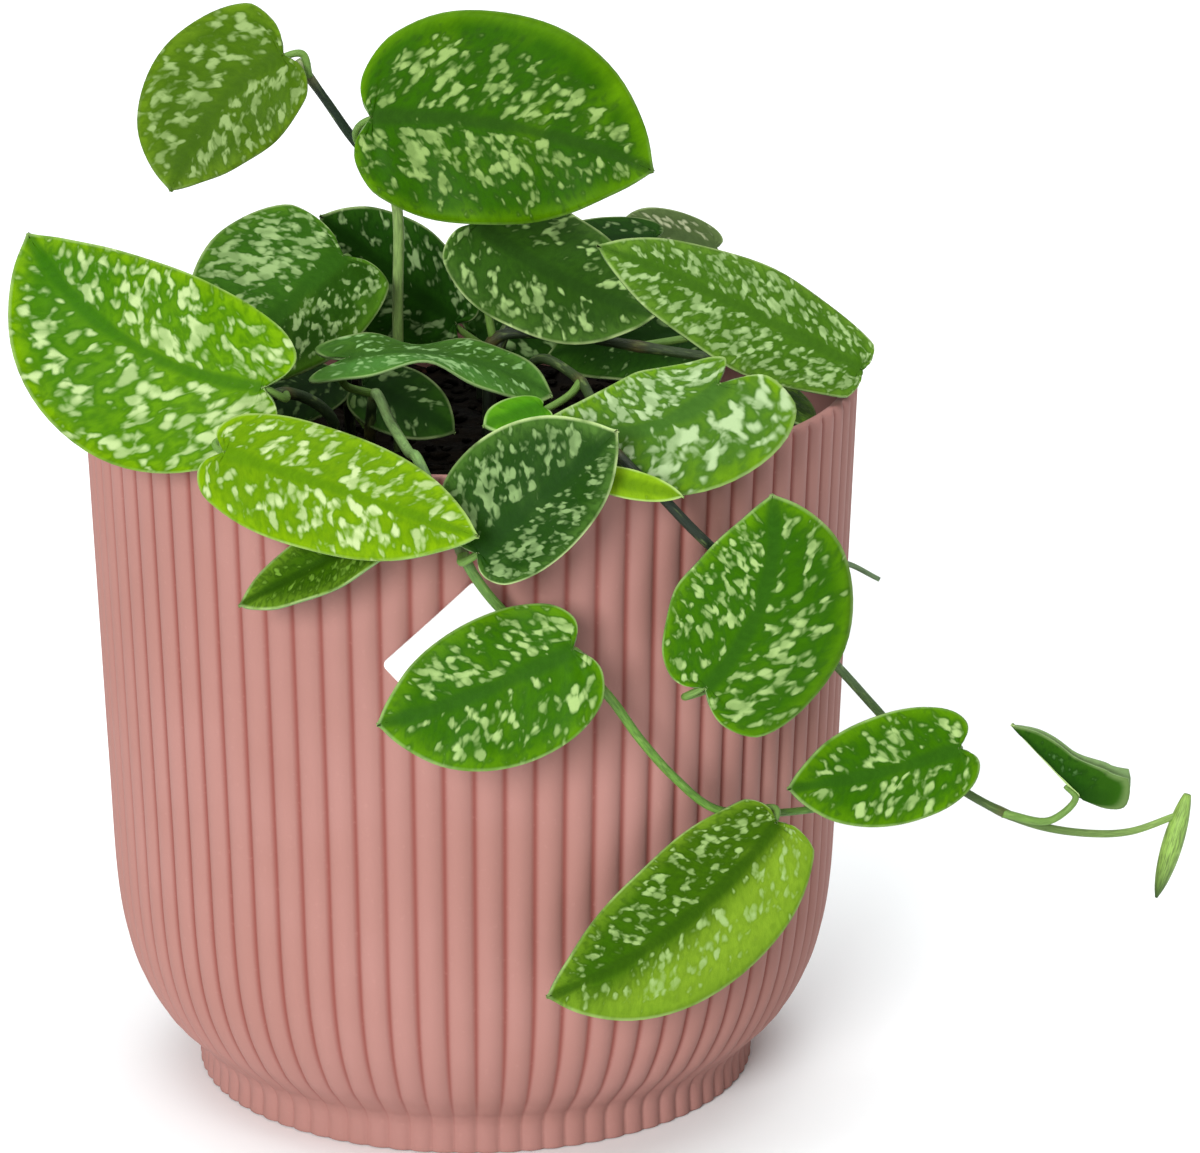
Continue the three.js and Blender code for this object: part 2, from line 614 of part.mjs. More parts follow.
/** A named sub-part with a material of its own. */
function piece(name, geometry, color, roughness) {
  const material = new THREE.MeshStandardMaterial({ color, roughness, metalness: 0 });
  const mesh = new THREE.Mesh(geometry, material);
  mesh.name = name;
  return mesh;
}

const plant = new THREE.Group();
plant.add(piece('pot', potGeometry(), '#c68f86', 0.55));
plant.add(piece('soil', pottedSoil(), '#2e2118', 0.95));
plant.add(piece('label', labelGeometry(), '#f4f4f2', 0.4));
for (const [name, vine] of Object.entries(VINES)) {
  plant.add(piece(name, vineGeometry(vine), vine.colour, 0.45));
}

export default plant;
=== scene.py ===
"""Satin pothos (Scindapsus pictus) in a ribbed pink pot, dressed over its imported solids.

Tables are in millimetres, as in the part's source; meshes are built in metres.
"""

import math
import random

import bpy
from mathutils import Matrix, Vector, noise

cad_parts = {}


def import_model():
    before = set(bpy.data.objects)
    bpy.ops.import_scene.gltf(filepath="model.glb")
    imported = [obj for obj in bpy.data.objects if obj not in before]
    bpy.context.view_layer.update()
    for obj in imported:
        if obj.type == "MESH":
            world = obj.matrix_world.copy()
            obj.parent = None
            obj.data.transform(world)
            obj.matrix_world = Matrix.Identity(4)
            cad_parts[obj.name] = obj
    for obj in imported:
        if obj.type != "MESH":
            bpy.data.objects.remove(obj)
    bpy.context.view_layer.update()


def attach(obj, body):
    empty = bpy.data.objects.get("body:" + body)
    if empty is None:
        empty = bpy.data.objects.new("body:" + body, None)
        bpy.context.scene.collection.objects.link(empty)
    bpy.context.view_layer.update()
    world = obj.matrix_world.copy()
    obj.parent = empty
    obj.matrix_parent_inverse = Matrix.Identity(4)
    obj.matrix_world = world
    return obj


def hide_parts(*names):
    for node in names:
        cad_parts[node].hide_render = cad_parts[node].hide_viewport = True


MM = 0.001
MM_PER_CM = 10
SEED = 11

# ---- Camera, light and floor ----

CAMERA_PLACE = (0, -900, 364.9)
CAMERA_PITCH = 16.94
CAMERA_YAW = 1.464
CAMERA_LENS = 156.2
CAMERA_SENSOR = 36
CAMERA_CLIP = (0.05, 50)

# Suns: where from, strength and softness in degrees.
SUNS = {
    "key": ((-0.38, -0.92, 0.36), 3.3, 24),
    "top": ((0.0, 0.0, 1.0), 2.4, 60),
}
FILL_STRENGTH = 0.4
FLOOR_RADIUS = 4000
FLOOR_HEIGHT = -0.2
FLOOR_SIDES = 48
FLOOR_TONES = ((0.90, 0.93, 0.94, 1), (0.93, 0.96, 0.97, 1))

# ---- Pot ----

RIB_COUNT = 80
RIB_DEPTH = 1.05
RIB_COLUMNS = 10
RIB_ROUNDNESS = 2.1
# Outer face, underside first: radius and height at the crest of a rib, and rib depth.
POT_UNDERSIDE = [(46, 0.0, 0), (50.3, 0.0, 0.3)]
POT_FOOT = [(50.9, 0.0, 0.5), (51.0, 0.7, 0.6), (50.9, 2.2, 0.6)]
POT_WALL = [
    (50.8, 3.8, 0.6), (51.1, 5.4, 0.62), (52.2, 7.2, 0.66), (54.3, 9.2, 0.75), (58.6, 14, 0.9),
    (62.9, 23, 1.0), (65.3, 36, 1.05), (66.4, 60, 1.05), (67.7, 94, 1.05), (69.0, 127.6, 1.05),
]
POT_RIM = [
    (68.85, 128.3, 0.9), (68.6, 128.75, 0.45), (68.15, 129, 0.0), (67.1, 129, 0.0),
    (66.65, 128.6, 0.0),
]
# Inner face, from the rim down: radius and height.
POT_INSIDE = [
    (66.4, 127.6), (65.2, 100), (63.6, 60), (62.2, 36), (59.5, 23), (54.0, 14.5), (47.0, 8), (45.0, 3),
]
FOOT_ROWS = 2
WALL_ROWS = 9
INSIDE_ROWS = 3

POT_TONES = ((156, 113, 106), (151, 108, 100))
# Painted shade laid into the creases between ribs.
POT_CREASE_SHADE = (116, 45, 37)
POT_SPECK = (174, 128, 120)

# ---- Soil and label ----

SOIL_TOP = 114
SOIL_SWELL = 0.9
SOIL_ROUGHNESS = 1.3
SOIL_EDGE = 64.9
SOIL_SIDE = [(44.8, 3.6), (53.4, 15), (58.9, 23.5), (61.6, 36.5), (63.0, 60.5), (64.6, 100)]
SOIL_COLUMNS = 120
SOIL_RINGS = 30
# Near black: the soil's own dark colour with painted shade of the pot's inside.
SOIL_AND_SHADE_TONES = ((5, 5, 3), (27, 20, 12))
SOIL_FIBRE = (80, 36, 18)
SOIL_CRUMB = (9, 8, 5)
CRUMBS = 900
CRUMB_SIDES = 6
# Rings of a crumb: height and width, as shares of its size.
CRUMB_RINGS = ((-0.7, 0.65), (0.05, 1.0), (0.65, 0.6))

LABEL_SIDE = 22
LABEL_TURN = math.radians(44)
LABEL_HEIGHT = 95.6
LABEL_THICKNESS = 0.6
LABEL_GAP = 0.35
LABEL_CORNER = 1.0
LABEL_CELLS = 28
LABEL_SHARP = math.radians(40)
LABEL_TONES = ((246, 246, 247), (238, 238, 240))
LABEL_SMUDGE = (226, 226, 228)

# ---- Leaf form ----

# Half outline from the notch to the tip: along in blade lengths, across in half
# widths, and where the side vein to that point leaves the midrib.
OUTLINE = [
    (0, 0, 0), (-0.07, 0.18, 0), (-0.09, 0.42, 0), (-0.01, 0.73, 0), (0.16, 0.94, 0.04),
    (0.37, 1.0, 0.18), (0.58, 0.91, 0.37), (0.77, 0.68, 0.59), (0.92, 0.31, 0.82), (1, 0, 1),
]
OUTLINE_STEPS = 5
VEIN_STEPS = 12
VEIN_SWEEP = 1.35
VEIN_SLANT = 0.45
LOBE_ROWS = 3
WAIST_END = 0.45
WAIST_LIMIT = 1.3
FOLD_SOFTNESS = 0.06
SWAY_CENTRE = 0.35
WAVES = 2
WAVE_SHIFT = 0.37
WAVE_POWER = 1.6
BLADE_THICKNESS = 0.72
MARGIN_THICKNESS = 0.4
MIDRIB_GROOVE = 0.14
SIDE_VEINS = 7
QUILTING = 0.13

STEM_FOOT = 105.6
STEM_SIDES = 12
STEM_STEPS = 8
STALK_BASE = 0.78
STALK_TOP = 0.6
STALK_END = 0.2
STALK_UNDER = 0.8
STALK_HOLD = 0.16
NODE_SWELL = 0.2
STEM_TAPER = 0.25
NODE_REACH = 2.2
SCAR_REACH = 1.3
ROOT_RADIUS = 0.7

# ---- Leaf looks ----

# What a look says where it is left out. tilt says which half has the shade and how much,
# the shade being painted light and shade that draws that half lighter or darker as light
# falls on it. fade says how much of that is lost towards the tip, line how pale the thin
# edge is, fine how small the blotches are, bare how much is taken off them at the margin
# of each half, core beside the midrib, and dim how much darker they are at the stalk.
EVEN = {
    "tilt": 0.0, "fade": 0.0, "line": 0.5, "fine": 1.0, "bare": (0.0, 0.0), "core": 0.0, "dim": 0.0,
}


def look(ground, rim, spot, band, shade=None, far=None, cover=0.5, **more):
    """Colours of one kind of leaf, from 0 to 255, and how its blotches lie.

    far is the ground's colour at the tip, shade the colour of one half, painted light and shade.
    cover is how much of the blade, or of each half, the blotches take. The rest is as in EVEN.
    """
    if not isinstance(cover, tuple):
        cover = (cover, cover)
    tones = dict(ground=ground, rim=rim, spot=spot, band=band, shade=shade or ground, far=far or ground)
    return {**EVEN, **tones, "cover": cover, **more}


LOOKS = {
    "sunlit": look((48, 98, 0), (92, 142, 0), (138, 166, 94), (42, 78, 16), far=(44, 92, 0), line=0.1,
                   bare=(0.35, 0.9)),
    "pale": look((74, 110, 10), (104, 140, 24), (136, 160, 98), (62, 96, 12), far=(66, 100, 12),
                 cover=0.56, line=0.1, fine=1.1),
    "bluish": look((64, 108, 28), (80, 130, 46), (142, 182, 118), (52, 94, 30), shade=(80, 134, 56),
                   far=(54, 98, 24), cover=0.44, tilt=-1.6, fade=1.0, line=0.4, fine=1.25),
    "shaded": look((32, 70, 12), (52, 94, 22), (134, 166, 104), (24, 58, 10), cover=0.36),
    "fine": look((32, 70, 8), (80, 120, 46), (124, 152, 96), (28, 64, 12), cover=0.52, line=0.8,
                 fine=1.35),
    "plain": look((62, 102, 6), (110, 150, 36), (110, 150, 50), (36, 70, 4), cover=0.42, fine=1.5),
    "bold": look((60, 113, 2), (94, 146, 6), (160, 188, 116), (46, 92, 18), far=(52, 104, 2), cover=0.49,
                 line=0.35, bare=(0.15, 0.0)),
    "sidelit": look((64, 102, 4), (114, 152, 34), (150, 178, 108), (50, 86, 8), shade=(130, 166, 40),
                    far=(56, 102, 4), cover=0.42, tilt=1.0, fade=0.62, line=0.4, fine=1.15,
                    bare=(0.0, 0.25)),
    "silvery": look((84, 128, 30), (112, 158, 16), (168, 192, 142), (60, 102, 38), cover=0.61, line=0.4,
                    fine=1.15),
    "glow": look((112, 154, 8), (140, 180, 26), (190, 212, 120), (98, 138, 12), cover=0.15),
    "young": look((64, 136, 4), (94, 160, 18), (160, 206, 96), (56, 116, 8), cover=0.0),
    "folded": look((34, 80, 8), (52, 98, 16), (86, 124, 70), (24, 62, 10), cover=0.25, fine=1.5,
                   line=0.2),
    "lime": look((104, 154, 2), (122, 168, 0), (174, 196, 134), (44, 100, 0), far=(54, 112, 0),
                 cover=0.53, line=0.35, fine=0.86),
    "citrus": look((106, 148, 6), (130, 172, 2), (182, 200, 142), (84, 130, 6), far=(108, 150, 2),
                   cover=0.49, line=0.4),
    "dense": look((54, 100, 16), (92, 142, 34), (160, 190, 124), (50, 96, 20), shade=(42, 82, 12),
                  far=(72, 130, 32), dim=0.1, cover=(0.62, 0.36), tilt=1.4, fine=1.3),
    "sparse": look((56, 98, 24), (84, 126, 44), (162, 194, 120), (42, 76, 22), far=(46, 82, 20),
                   cover=0.43, line=0.8, core=0.25),
    "speckled": look((70, 114, 20), (106, 148, 44), (152, 180, 118), (60, 100, 22), cover=0.57,
                     fine=1.25),
    # deep: darker colours that are painted shade, for leaves lying in shade behind the others.
    "deep": look((32, 74, 11), (46, 90, 18), (136, 164, 108), (22, 56, 8), cover=0.36),
    "grey": look((94, 116, 64), (110, 134, 78), (194, 202, 160), (80, 102, 58), cover=0.52),
}

# The colours above are as they look in full light, so each is taken down by this.
GREEN_SHARE = 0.72
SPOT_GAIN = 1.14
MARGIN_COLOUR = (196, 218, 150)
MOTTLE_TINT = (0.55, 0.62, 0.5, 1)
STEM_NODE_COLOUR = (98, 90, 42)
STALK_COLOUR = (116, 158, 66)
BUD_COLOUR = (150, 190, 84)
BUD_TIP_COLOUR = (52, 88, 8)
ROOT_COLOUR = (128, 158, 112)
STEM_PATCH = (150, 176, 96)
UNDERSIDE_PALE = (150, 176, 120)
UNDERSIDE_MOTTLE = (120, 152, 92)
UNDERSIDE_MIDRIB = (166, 190, 120)
# How dark the streaks are on stems, on stalks and roots, and on buds.
STEM_STREAK = 0.62
STALK_STREAK = 0.72
BUD_STREAK = 0.45

# ---- Vines ----

# Colours from the foot of a stem to its end: share of its length, colour. The dark spans are
# painted shade, where a stem runs in the pot's shaded inside or in shade under leaves.
BACK_SHADED_TONES = [(0, (24, 36, 18)), (0.35, (50, 74, 34)), (1.0, (100, 136, 58))]

# Shape words that a leaf leaves out are zero, but for lobe.
FLAT = {
    "skew": 0, "arch": 0, "fold": 0, "curl": 0, "sway": 0, "wave": 0, "phase": 0,
    "asym": 0, "narrow": 0, "lean": 0, "lobe": 1, "via": None,
}


def vine(stem, *leaves, tones, radius=1.2, slim=0.85, buds=(), roots=()):
    """One leafy stem. slim says how much thinner it is than the solid it stands for."""
    return dict(stem=stem, leaves=leaves, tones=tones, radius=radius, slim=slim, buds=buds, roots=roots)


def leaf(style, base, tip, face, width, start, **shape):
    """One leaf: its look, notch, tip, way it faces, width, and foot of its stalk."""
    row = dict(look=style, base=base, tip=tip, face=face, width=width, start=start)
    return {**FLAT, **row, **shape}


VINES = {
    "vine_upright": vine(
        [(-13, 2, STEM_FOOT), (-13, 2, 120), (-13, 1, 140), (-13, 0, 160), (-15, 0, 166), (-20, 0, 171),
         (-25, -1, 178.5), (-30, -2, 186)],
        leaf("sunlit", (-17, -8, 177), (32, -12, 168), (0, -0.9, 0.45), 39.2, (-18, 0, 168), skew=0.06,
             asym=0.08, lobe=0.7, lean=-0.25, curl=0.1, wave=0.8),
        leaf("pale", (-32.5, -4, 187.2), (-52, -12, 165), (-0.2, -0.93, 0.35), 26.5, (-28, -2, 183),
             skew=-0.09, asym=-0.16, lobe=0.65, curl=0.1, wave=0.5),
        radius=1.1, slim=0.9,
        # Painted shade: the dark span between the two leaves, and the darker foot.
        tones=[(0, (60, 80, 34)), (0.2, (132, 168, 84)), (0.55, (164, 196, 112)), (0.68, (30, 52, 30)),
               (0.9, (24, 46, 26)), (1.0, (190, 205, 150))],
    ),
    "vine_front": vine(
        [(-18, -9, STEM_FOOT), (-18, -10, 121), (-17, -15, 129), (-14, -30, 128), (-11, -46, 127.5),
         (-10, -60, 130.5), (-9, -68, 132), (-6, -74, 127), (-3, -75.5, 121), (0, -74, 114),
         (5, -73, 107), (14, -72, 99), (22, -71, 92), (28, -69, 83), (34, -66, 75), (41, -62, 68),
         (51, -56, 65), (61, -48, 63)],
        leaf("bluish", (-21, -28.5, 139), (14, -29.5, 132.2), (0.03, 0.02, 1), 18.8, (-17, -15, 129),
             via=[(-22, -20, 132)], sway=2.3, arch=0.1, lobe=1.85, wave=0.9, phase=0.15, asym=0.04),
        leaf("shaded", (-19, -4, 127.5), (-3, -10, 120.5), (0, -0.6, 0.8), 15, (-18, -10, 121),
             via=[(-21, -7, 125)], arch=0.05),
        leaf("fine", (1, -79, 119), (24, -75, 138.5), (-0.1, -0.95, 0.3), 23.5, (-1.5, -75, 118),
             lobe=0.7, asym=0.2, curl=0.12, wave=0.4),
        leaf("plain", (-14, -76, 122), (-39, -69, 107), (-0.3, -0.7, 0.6), 12, (-4, -75, 123), fold=0.2,
             wave=0.4),
        leaf("bold", (16.3, -77, 101.5), (-16, -82, 90.3), (0.1, -0.95, 0.3), 25.5, (21, -71, 94),
             via=[(19, -74, 98)], skew=0.03, asym=0.1, lobe=0.9, wave=0.6),
        leaf("sidelit", (51.5, -61, 65), (12, -75, 39), (0.3, -0.95, 0.2), 27, (47, -58, 66), skew=0.08,
             asym=0.12, narrow=0.2, lobe=0.3, curl=0.1, wave=0.6),
        radius=1.15, slim=0.8,
        # Painted shade at the dark foot and under the leaves, and painted light in the pale span over
        # the lip.
        tones=[(0, (30, 44, 20)), (0.09, (40, 60, 26)), (0.13, (168, 210, 128)), (0.36, (130, 174, 92)),
               (0.42, (40, 62, 34)), (0.5, (96, 140, 60)), (0.62, (112, 160, 60)), (1.0, (96, 146, 40))],
    ),
    "vine_right": vine(
        [(7, -12, STEM_FOOT), (7, -12, 122), (9, -13, 131), (12, -16, 135.5), (18, -24, 134.5),
         (21, -40, 133.5), (22.5, -54, 133.5), (23, -64, 133), (26, -69.5, 131), (31, -69, 126),
         (36.5, -67, 119.5), (43, -63, 112), (52, -56, 101), (62, -46, 89), (70, -38, 78), (79, -35, 67),
         (89, -33, 59), (100, -30, 53), (110, -29, 51), (117, -28, 51), (125, -27, 53.5)],
        leaf("silvery", (41, -61, 142.5), (12.5, -65, 138), (0.25, -0.85, 0.45), 22, (22.5, -54, 133.5),
             asym=0.12, narrow=0.22, skew=0.17, lobe=1.3, lean=1.15, curl=0.1, wave=0.4),
        leaf("glow", (20, -73, 130.3), (35, -73.5, 126.8), (0.1, -0.93, 0.3), 5, (24.5, -67, 132.3)),
        leaf("young", (12, -40, 133), (2, -46, 131.5), (0, -0.6, 0.8), 9, (19, -27, 134.3), curl=0.15),
        leaf("bold", (39, -70, 92.5), (50, -65, 124.6), (0.3, -0.9, 0.3), 32.2, (52, -56, 101),
             via=[(43, -64, 92), (35.5, -68.5, 90.3)], skew=-0.12, asym=-0.13, lobe=0.8, curl=0.12,
             wave=0.6),
        leaf("bold", (84, -46, 73), (53.8, -55.4, 69.2), (0.35, -0.9, 0.3), 19.5, (79, -35, 67),
             skew=0.03, wave=0.4),
        leaf("folded", (107.3, -30, 58.6), (95, -30, 72), (0.74, -0.2, 0.66), 1.8, (93.5, -32, 56),
             via=[(102, -31, 54.2)], fold=5.6, lobe=3.8, narrow=-1.2),
        radius=1.05,
        # Painted shade at the dark foot and in the dark span where it hangs under the leaves over the
        # lip.
        tones=[(0, (30, 44, 20)), (0.3, (60, 84, 34)), (0.42, (20, 36, 20)), (0.56, (30, 48, 28)),
               (0.66, (84, 120, 50)), (0.78, (70, 100, 40)), (0.9, (112, 146, 66)),
               (1.0, (140, 176, 84))],
        buds=[{"start": (127, -27, 57.5), "to": (122, -27, 38), "radius": 1.9}],
        roots=[[(54, -54, 99), (60, -43, 103), (65, -32, 102.5), (71, -32, 99.5)]],
    ),
    "vine_left": vine(
        [(-24, -27, STEM_FOOT), (-24, -27, 119), (-24, -35, 130), (-29, -42, 136), (-34, -50, 138),
         (-38, -58, 135), (-41, -63, 133)],
        leaf("lime", (-35, -55, 141), (-75, -36, 163.2), (-0.3, -0.85, 0.45), 35, (-31.5, -46, 137.5),
             skew=0.12, asym=0.13, lean=-0.3, curl=0.1, wave=0.7),
        leaf("citrus", (-41, -65, 132.5), (1, -87, 124), (-0.2, -0.75, 0.6), 21.4, (-40, -61, 134),
             lobe=0.7, asym=-0.05, curl=0.1, wave=0.4),
        tones=[(0, (24, 36, 18)), (0.4, (40, 60, 30)), (1.0, (52, 76, 36))],
    ),
    "vine_shade": vine(
        [(-22, 8, STEM_FOOT), (-22, 8, 119), (-23, 6, 130), (-24, 4, 139), (-24, 2, 147)],
        leaf("dense", (-22.5, -3, 151), (-43.5, -22, 133.5), (-0.1, -0.93, 0.35), 31, (-24, 2, 145),
             skew=-0.03, asym=-0.18, lean=0.3, lobe=0.6, curl=0.1, wave=0.6),
        leaf("shaded", (-25, -1, 128), (-42, -10, 121), (-0.1, -0.5, 0.85), 15, (-23.5, 6, 128),
             arch=0.05),
        leaf("bold", (-34, 12, 138), (-54, 18, 131), (-0.3, 0.1, 0.95), 22, (-24, 4, 136), arch=0.08,
             wave=0.5),
        tones=[(0, (24, 36, 18)), (0.5, (36, 56, 26)), (1.0, (60, 90, 40))],
    ),
    "vine_rim": vine(
        [(3, 12, STEM_FOOT), (3, 12, 122), (4, 11, 132), (14, 8, 134), (30, 2, 133), (47, -6, 132.5),
         (62, -14, 134)],
        leaf("sparse", (1.5, 5, 155), (33, -7, 141), (-0.2, -0.7, 0.7), 25, (4, 11, 132),
             via=[(2, 10, 145)], skew=-0.06, lobe=0.6, curl=0.1, wave=0.6),
        leaf("speckled", (68, -21, 134.5), (22, -17, 156), (0.2, -0.75, 0.65), 21.5, (60, -13, 134),
             skew=-0.02, asym=0.03, narrow=0.25, lobe=0.2, curl=0.1, wave=0.5),
        leaf("plain", (53, -13, 130.5), (57, -31, 127), (0.45, -0.45, 0.8), 12, (45, -5, 132.5)),
        leaf("shaded", (42, 12, 133), (14, 19, 127), (0.1, -0.7, 0.7), 18, (30, 2, 133), arch=0.06,
             wave=0.5),
        tones=[(0, (24, 36, 18)), (0.4, (34, 50, 22)), (1.0, (58, 82, 34))],
    ),
    "vine_back_right": vine(
        [(4, 26, STEM_FOOT), (4, 26, 122), (8, 27, 132), (20, 30, 136), (32, 36, 137), (38, 48, 136),
         (42, 56, 133.5), (46, 60, 127), (47, 60, 116), (46, 60, 104), (43, 61, 92), (41, 62, 80)],
        leaf("deep", (-3, 20, 133), (-27, 16, 154), (0.2, -0.8, 0.6), 24, (4, 26, 126), curl=0.1,
             wave=0.5),
        leaf("deep", (33.5, 24, 147.5), (12, 22, 147), (0.1, -0.5, 0.87), 14, (20, 30, 136),
             via=[(28, 28, 144)], curl=0.1),
        leaf("grey", (45, 34, 143.5), (28, 31, 149.5), (0.1, -0.5, 0.87), 15, (32, 36, 137),
             via=[(40, 36, 141)], curl=0.1),
        leaf("bold", (53, 58, 112), (52, 57, 86), (0.65, 0.75, 0.15), 21, (47, 60, 116), curl=0.12,
             wave=0.5),
        leaf("dense", (40, 68, 104), (22, 74, 88), (0.4, 0.9, 0.15), 22, (46, 60, 104), curl=0.12,
             wave=0.5),
        leaf("bold", (42, 67, 78), (38, 66, 54), (0.5, 0.85, 0.1), 20, (42, 62, 85), curl=0.12,
             wave=0.5),
        radius=1.3,
        tones=BACK_SHADED_TONES,
    ),
    "vine_back_left": vine(
        [(-20, 30, STEM_FOOT), (-20, 31, 122), (-24, 42, 131), (-31, 56, 133.5), (-35, 62, 132),
         (-38, 65, 124), (-38, 65, 112), (-36, 66, 97), (-32, 67, 82), (-27, 68, 68), (-23, 68, 56)],
        leaf("dense", (-33, 42, 138), (-57, 34, 136), (-0.2, 0.2, 0.95), 22, (-25, 44, 131.5), arch=0.08,
             wave=0.6),
        leaf("bold", (-43, 68, 121), (-58, 58, 99), (-0.6, 0.78, 0.15), 22, (-38, 65, 118), curl=0.12,
             wave=0.5),
        leaf("sparse", (-31, 73, 104), (-9, 80, 92), (-0.3, 0.94, 0.15), 24, (-37, 66, 103), curl=0.12,
             wave=0.6),
        leaf("bold", (-38, 71, 86), (-52, 62, 62), (-0.55, 0.82, 0.15), 23, (-33, 67, 86), curl=0.12,
             wave=0.5),
        leaf("dense", (-21, 72, 58), (-10, 72, 33), (-0.2, 0.97, 0.1), 23, (-24, 68, 60), curl=0.12,
             wave=0.6),
        radius=1.3,
        tones=BACK_SHADED_TONES,
    ),
    "vine_back": vine(
        [(2, 38, STEM_FOOT), (2, 39, 122), (3, 48, 131), (4, 62, 133), (5, 70, 132), (6, 75, 125),
         (6, 75.5, 112), (7, 75, 99)],
        leaf("shaded", (1, 34, 127), (23, 36, 131), (0, -0.85, 0.5), 16, (2, 38, 122),
             via=[(0, 37, 125)]),
        leaf("dense", (-6, 46, 137), (-27, 52, 134), (0, 0.1, 1), 20, (3, 46, 130), arch=0.08, wave=0.5),
        leaf("bold", (13, 66, 137), (16, 91, 124), (0.1, 0.45, 0.9), 23, (4, 62, 133), arch=0.08,
             wave=0.6),
        leaf("sparse", (0, 80, 122), (-22, 80, 106), (-0.1, 0.98, 0.2), 21, (6, 75.5, 120), curl=0.12,
             wave=0.5),
        leaf("bold", (10, 79, 94), (13, 78, 66), (0.15, 0.97, 0.1), 23, (7, 75, 101), curl=0.12,
             wave=0.5),
        tones=BACK_SHADED_TONES,
    ),
}

# ---- Colour and node helpers ----


def linear(value):
    """One channel, 0 to 255, as linear light."""
    share = value / 255
    return share / 12.92 if share <= 0.04045 else ((share + 0.055) / 1.055) ** 2.4


def colour(rgb, share=1.0):
    """A linear colour; share says how much of the light it sends back."""
    return tuple(linear(v) * share for v in rgb) + (1.0,)


def blend(first, second, share):
    return tuple(a + (b - a) * share for a, b in zip(first, second))


def dimmed(tone, share):
    return tuple(c * share for c in tone[:3]) + (1.0,)


def clamp(value, low=0.0, high=1.0):
    return max(low, min(high, value))


def put_in_scene(name, data):
    thing = bpy.data.objects.new(name, data)
    bpy.context.scene.collection.objects.link(thing)
    return thing


class Paint:
    """A material's nodes, added one at a time and joined as they come."""

    def __init__(self, name):
        self.material = bpy.data.materials.new(name)
        self.material.use_nodes = True
        self.nodes = self.material.node_tree.nodes
        self.links = self.material.node_tree.links
        self.surface = self.nodes["Principled BSDF"]

    def put(self, socket, value):
        if isinstance(value, bpy.types.NodeSocket):
            self.links.new(value, socket)
        else:
            socket.default_value = value

    def set(self, name, value):
        self.put(self.surface.inputs[name], value)

    def finish(self, tone, roughness, specular=0.5):
        self.set("Base Color", tone)
        self.set("Roughness", roughness)
        self.set("Specular IOR Level", specular)

    def read(self, name, output="Fac"):
        """An attribute that the mesh carries."""
        node = self.nodes.new("ShaderNodeAttribute")
        node.attribute_name = name
        return node.outputs[output]

    def math(self, operation, first, second=0.0):
        node = self.nodes.new("ShaderNodeMath")
        node.operation = operation
        self.put(node.inputs[0], first)
        self.put(node.inputs[1], second)
        return node.outputs[0]

    def plus(self, first, second):
        return self.math("ADD", first, second)

    def minus(self, first, second):
        return self.math("SUBTRACT", first, second)

    def times(self, first, second):
        return self.math("MULTIPLY", first, second)

    def scaled(self, vector, scale):
        node = self.nodes.new("ShaderNodeMapping")
        self.put(node.inputs["Vector"], vector)
        node.inputs["Scale"].default_value = scale
        return node.outputs[0]

    def position(self):
        return self.nodes.new("ShaderNodeTexCoord").outputs["Object"]

    def noise(self, vector, scale, detail=2.0, roughness=0.5, distortion=0.0):
        node = self.nodes.new("ShaderNodeTexNoise")
        self.put(node.inputs["Vector"], vector)
        node.inputs["Scale"].default_value = scale
        node.inputs["Detail"].default_value = detail
        node.inputs["Roughness"].default_value = roughness
        node.inputs["Distortion"].default_value = distortion
        return node.outputs["Fac"]

    def cells(self, vector, scale):
        node = self.nodes.new("ShaderNodeTexVoronoi")
        self.put(node.inputs["Vector"], vector)
        node.inputs["Scale"].default_value = scale
        return node.outputs["Distance"]

    def step(self, value, low, high, to_low=0.0, to_high=1.0):
        """A smooth step from to_low to to_high as the value goes from low to high."""
        node = self.nodes.new("ShaderNodeMapRange")
        node.interpolation_type = "SMOOTHSTEP"
        parts = {
            "Value": value, "From Min": low, "From Max": high, "To Min": to_low, "To Max": to_high,
        }
        for name, part in parts.items():
            self.put(node.inputs[name], part)
        return node.outputs["Result"]

    def mix(self, factor, first, second, kind="MIX"):
        """A colour between two; inputs 6 and 7 and output 2 are the node's colours."""
        node = self.nodes.new("ShaderNodeMix")
        node.data_type = "RGBA"
        node.blend_type = kind
        self.put(node.inputs[0], factor)
        self.put(node.inputs[6], first)
        self.put(node.inputs[7], second)
        return node.outputs[2]

    def bump(self, height, distance, strength):
        node = self.nodes.new("ShaderNodeBump")
        node.inputs["Strength"].default_value = strength
        node.inputs["Distance"].default_value = distance
        self.put(node.inputs["Height"], height)
        self.put(self.surface.inputs["Normal"], node.outputs["Normal"])


# ---- Materials ----


def blotch_lead(paint, vein, edge, broad, band):
    """How far each place lies over the bar that makes it part of a blotch."""
    dabs = paint.noise(paint.scaled(vein, (1, 0.85, 1)), 4.4, 1.9, 0.5, 0.5)
    grain = paint.cells(paint.scaled(vein, (1, 0.88, 1)), 6.2)
    field = paint.plus(dabs, paint.times(paint.minus(0.42, grain), 0.38))
    field = paint.plus(field, paint.times(paint.minus(broad, 0.5), 0.25))
    near_edge = paint.step(edge, 0.02, 0.30, 1.0, 0.0)
    bar = paint.minus(0.72, paint.times(paint.read("cover"), 0.42))
    bar = paint.plus(bar, paint.times(band, 0.26))
    bar = paint.plus(bar, paint.times(near_edge, 0.13))
    return paint.minus(field, bar)


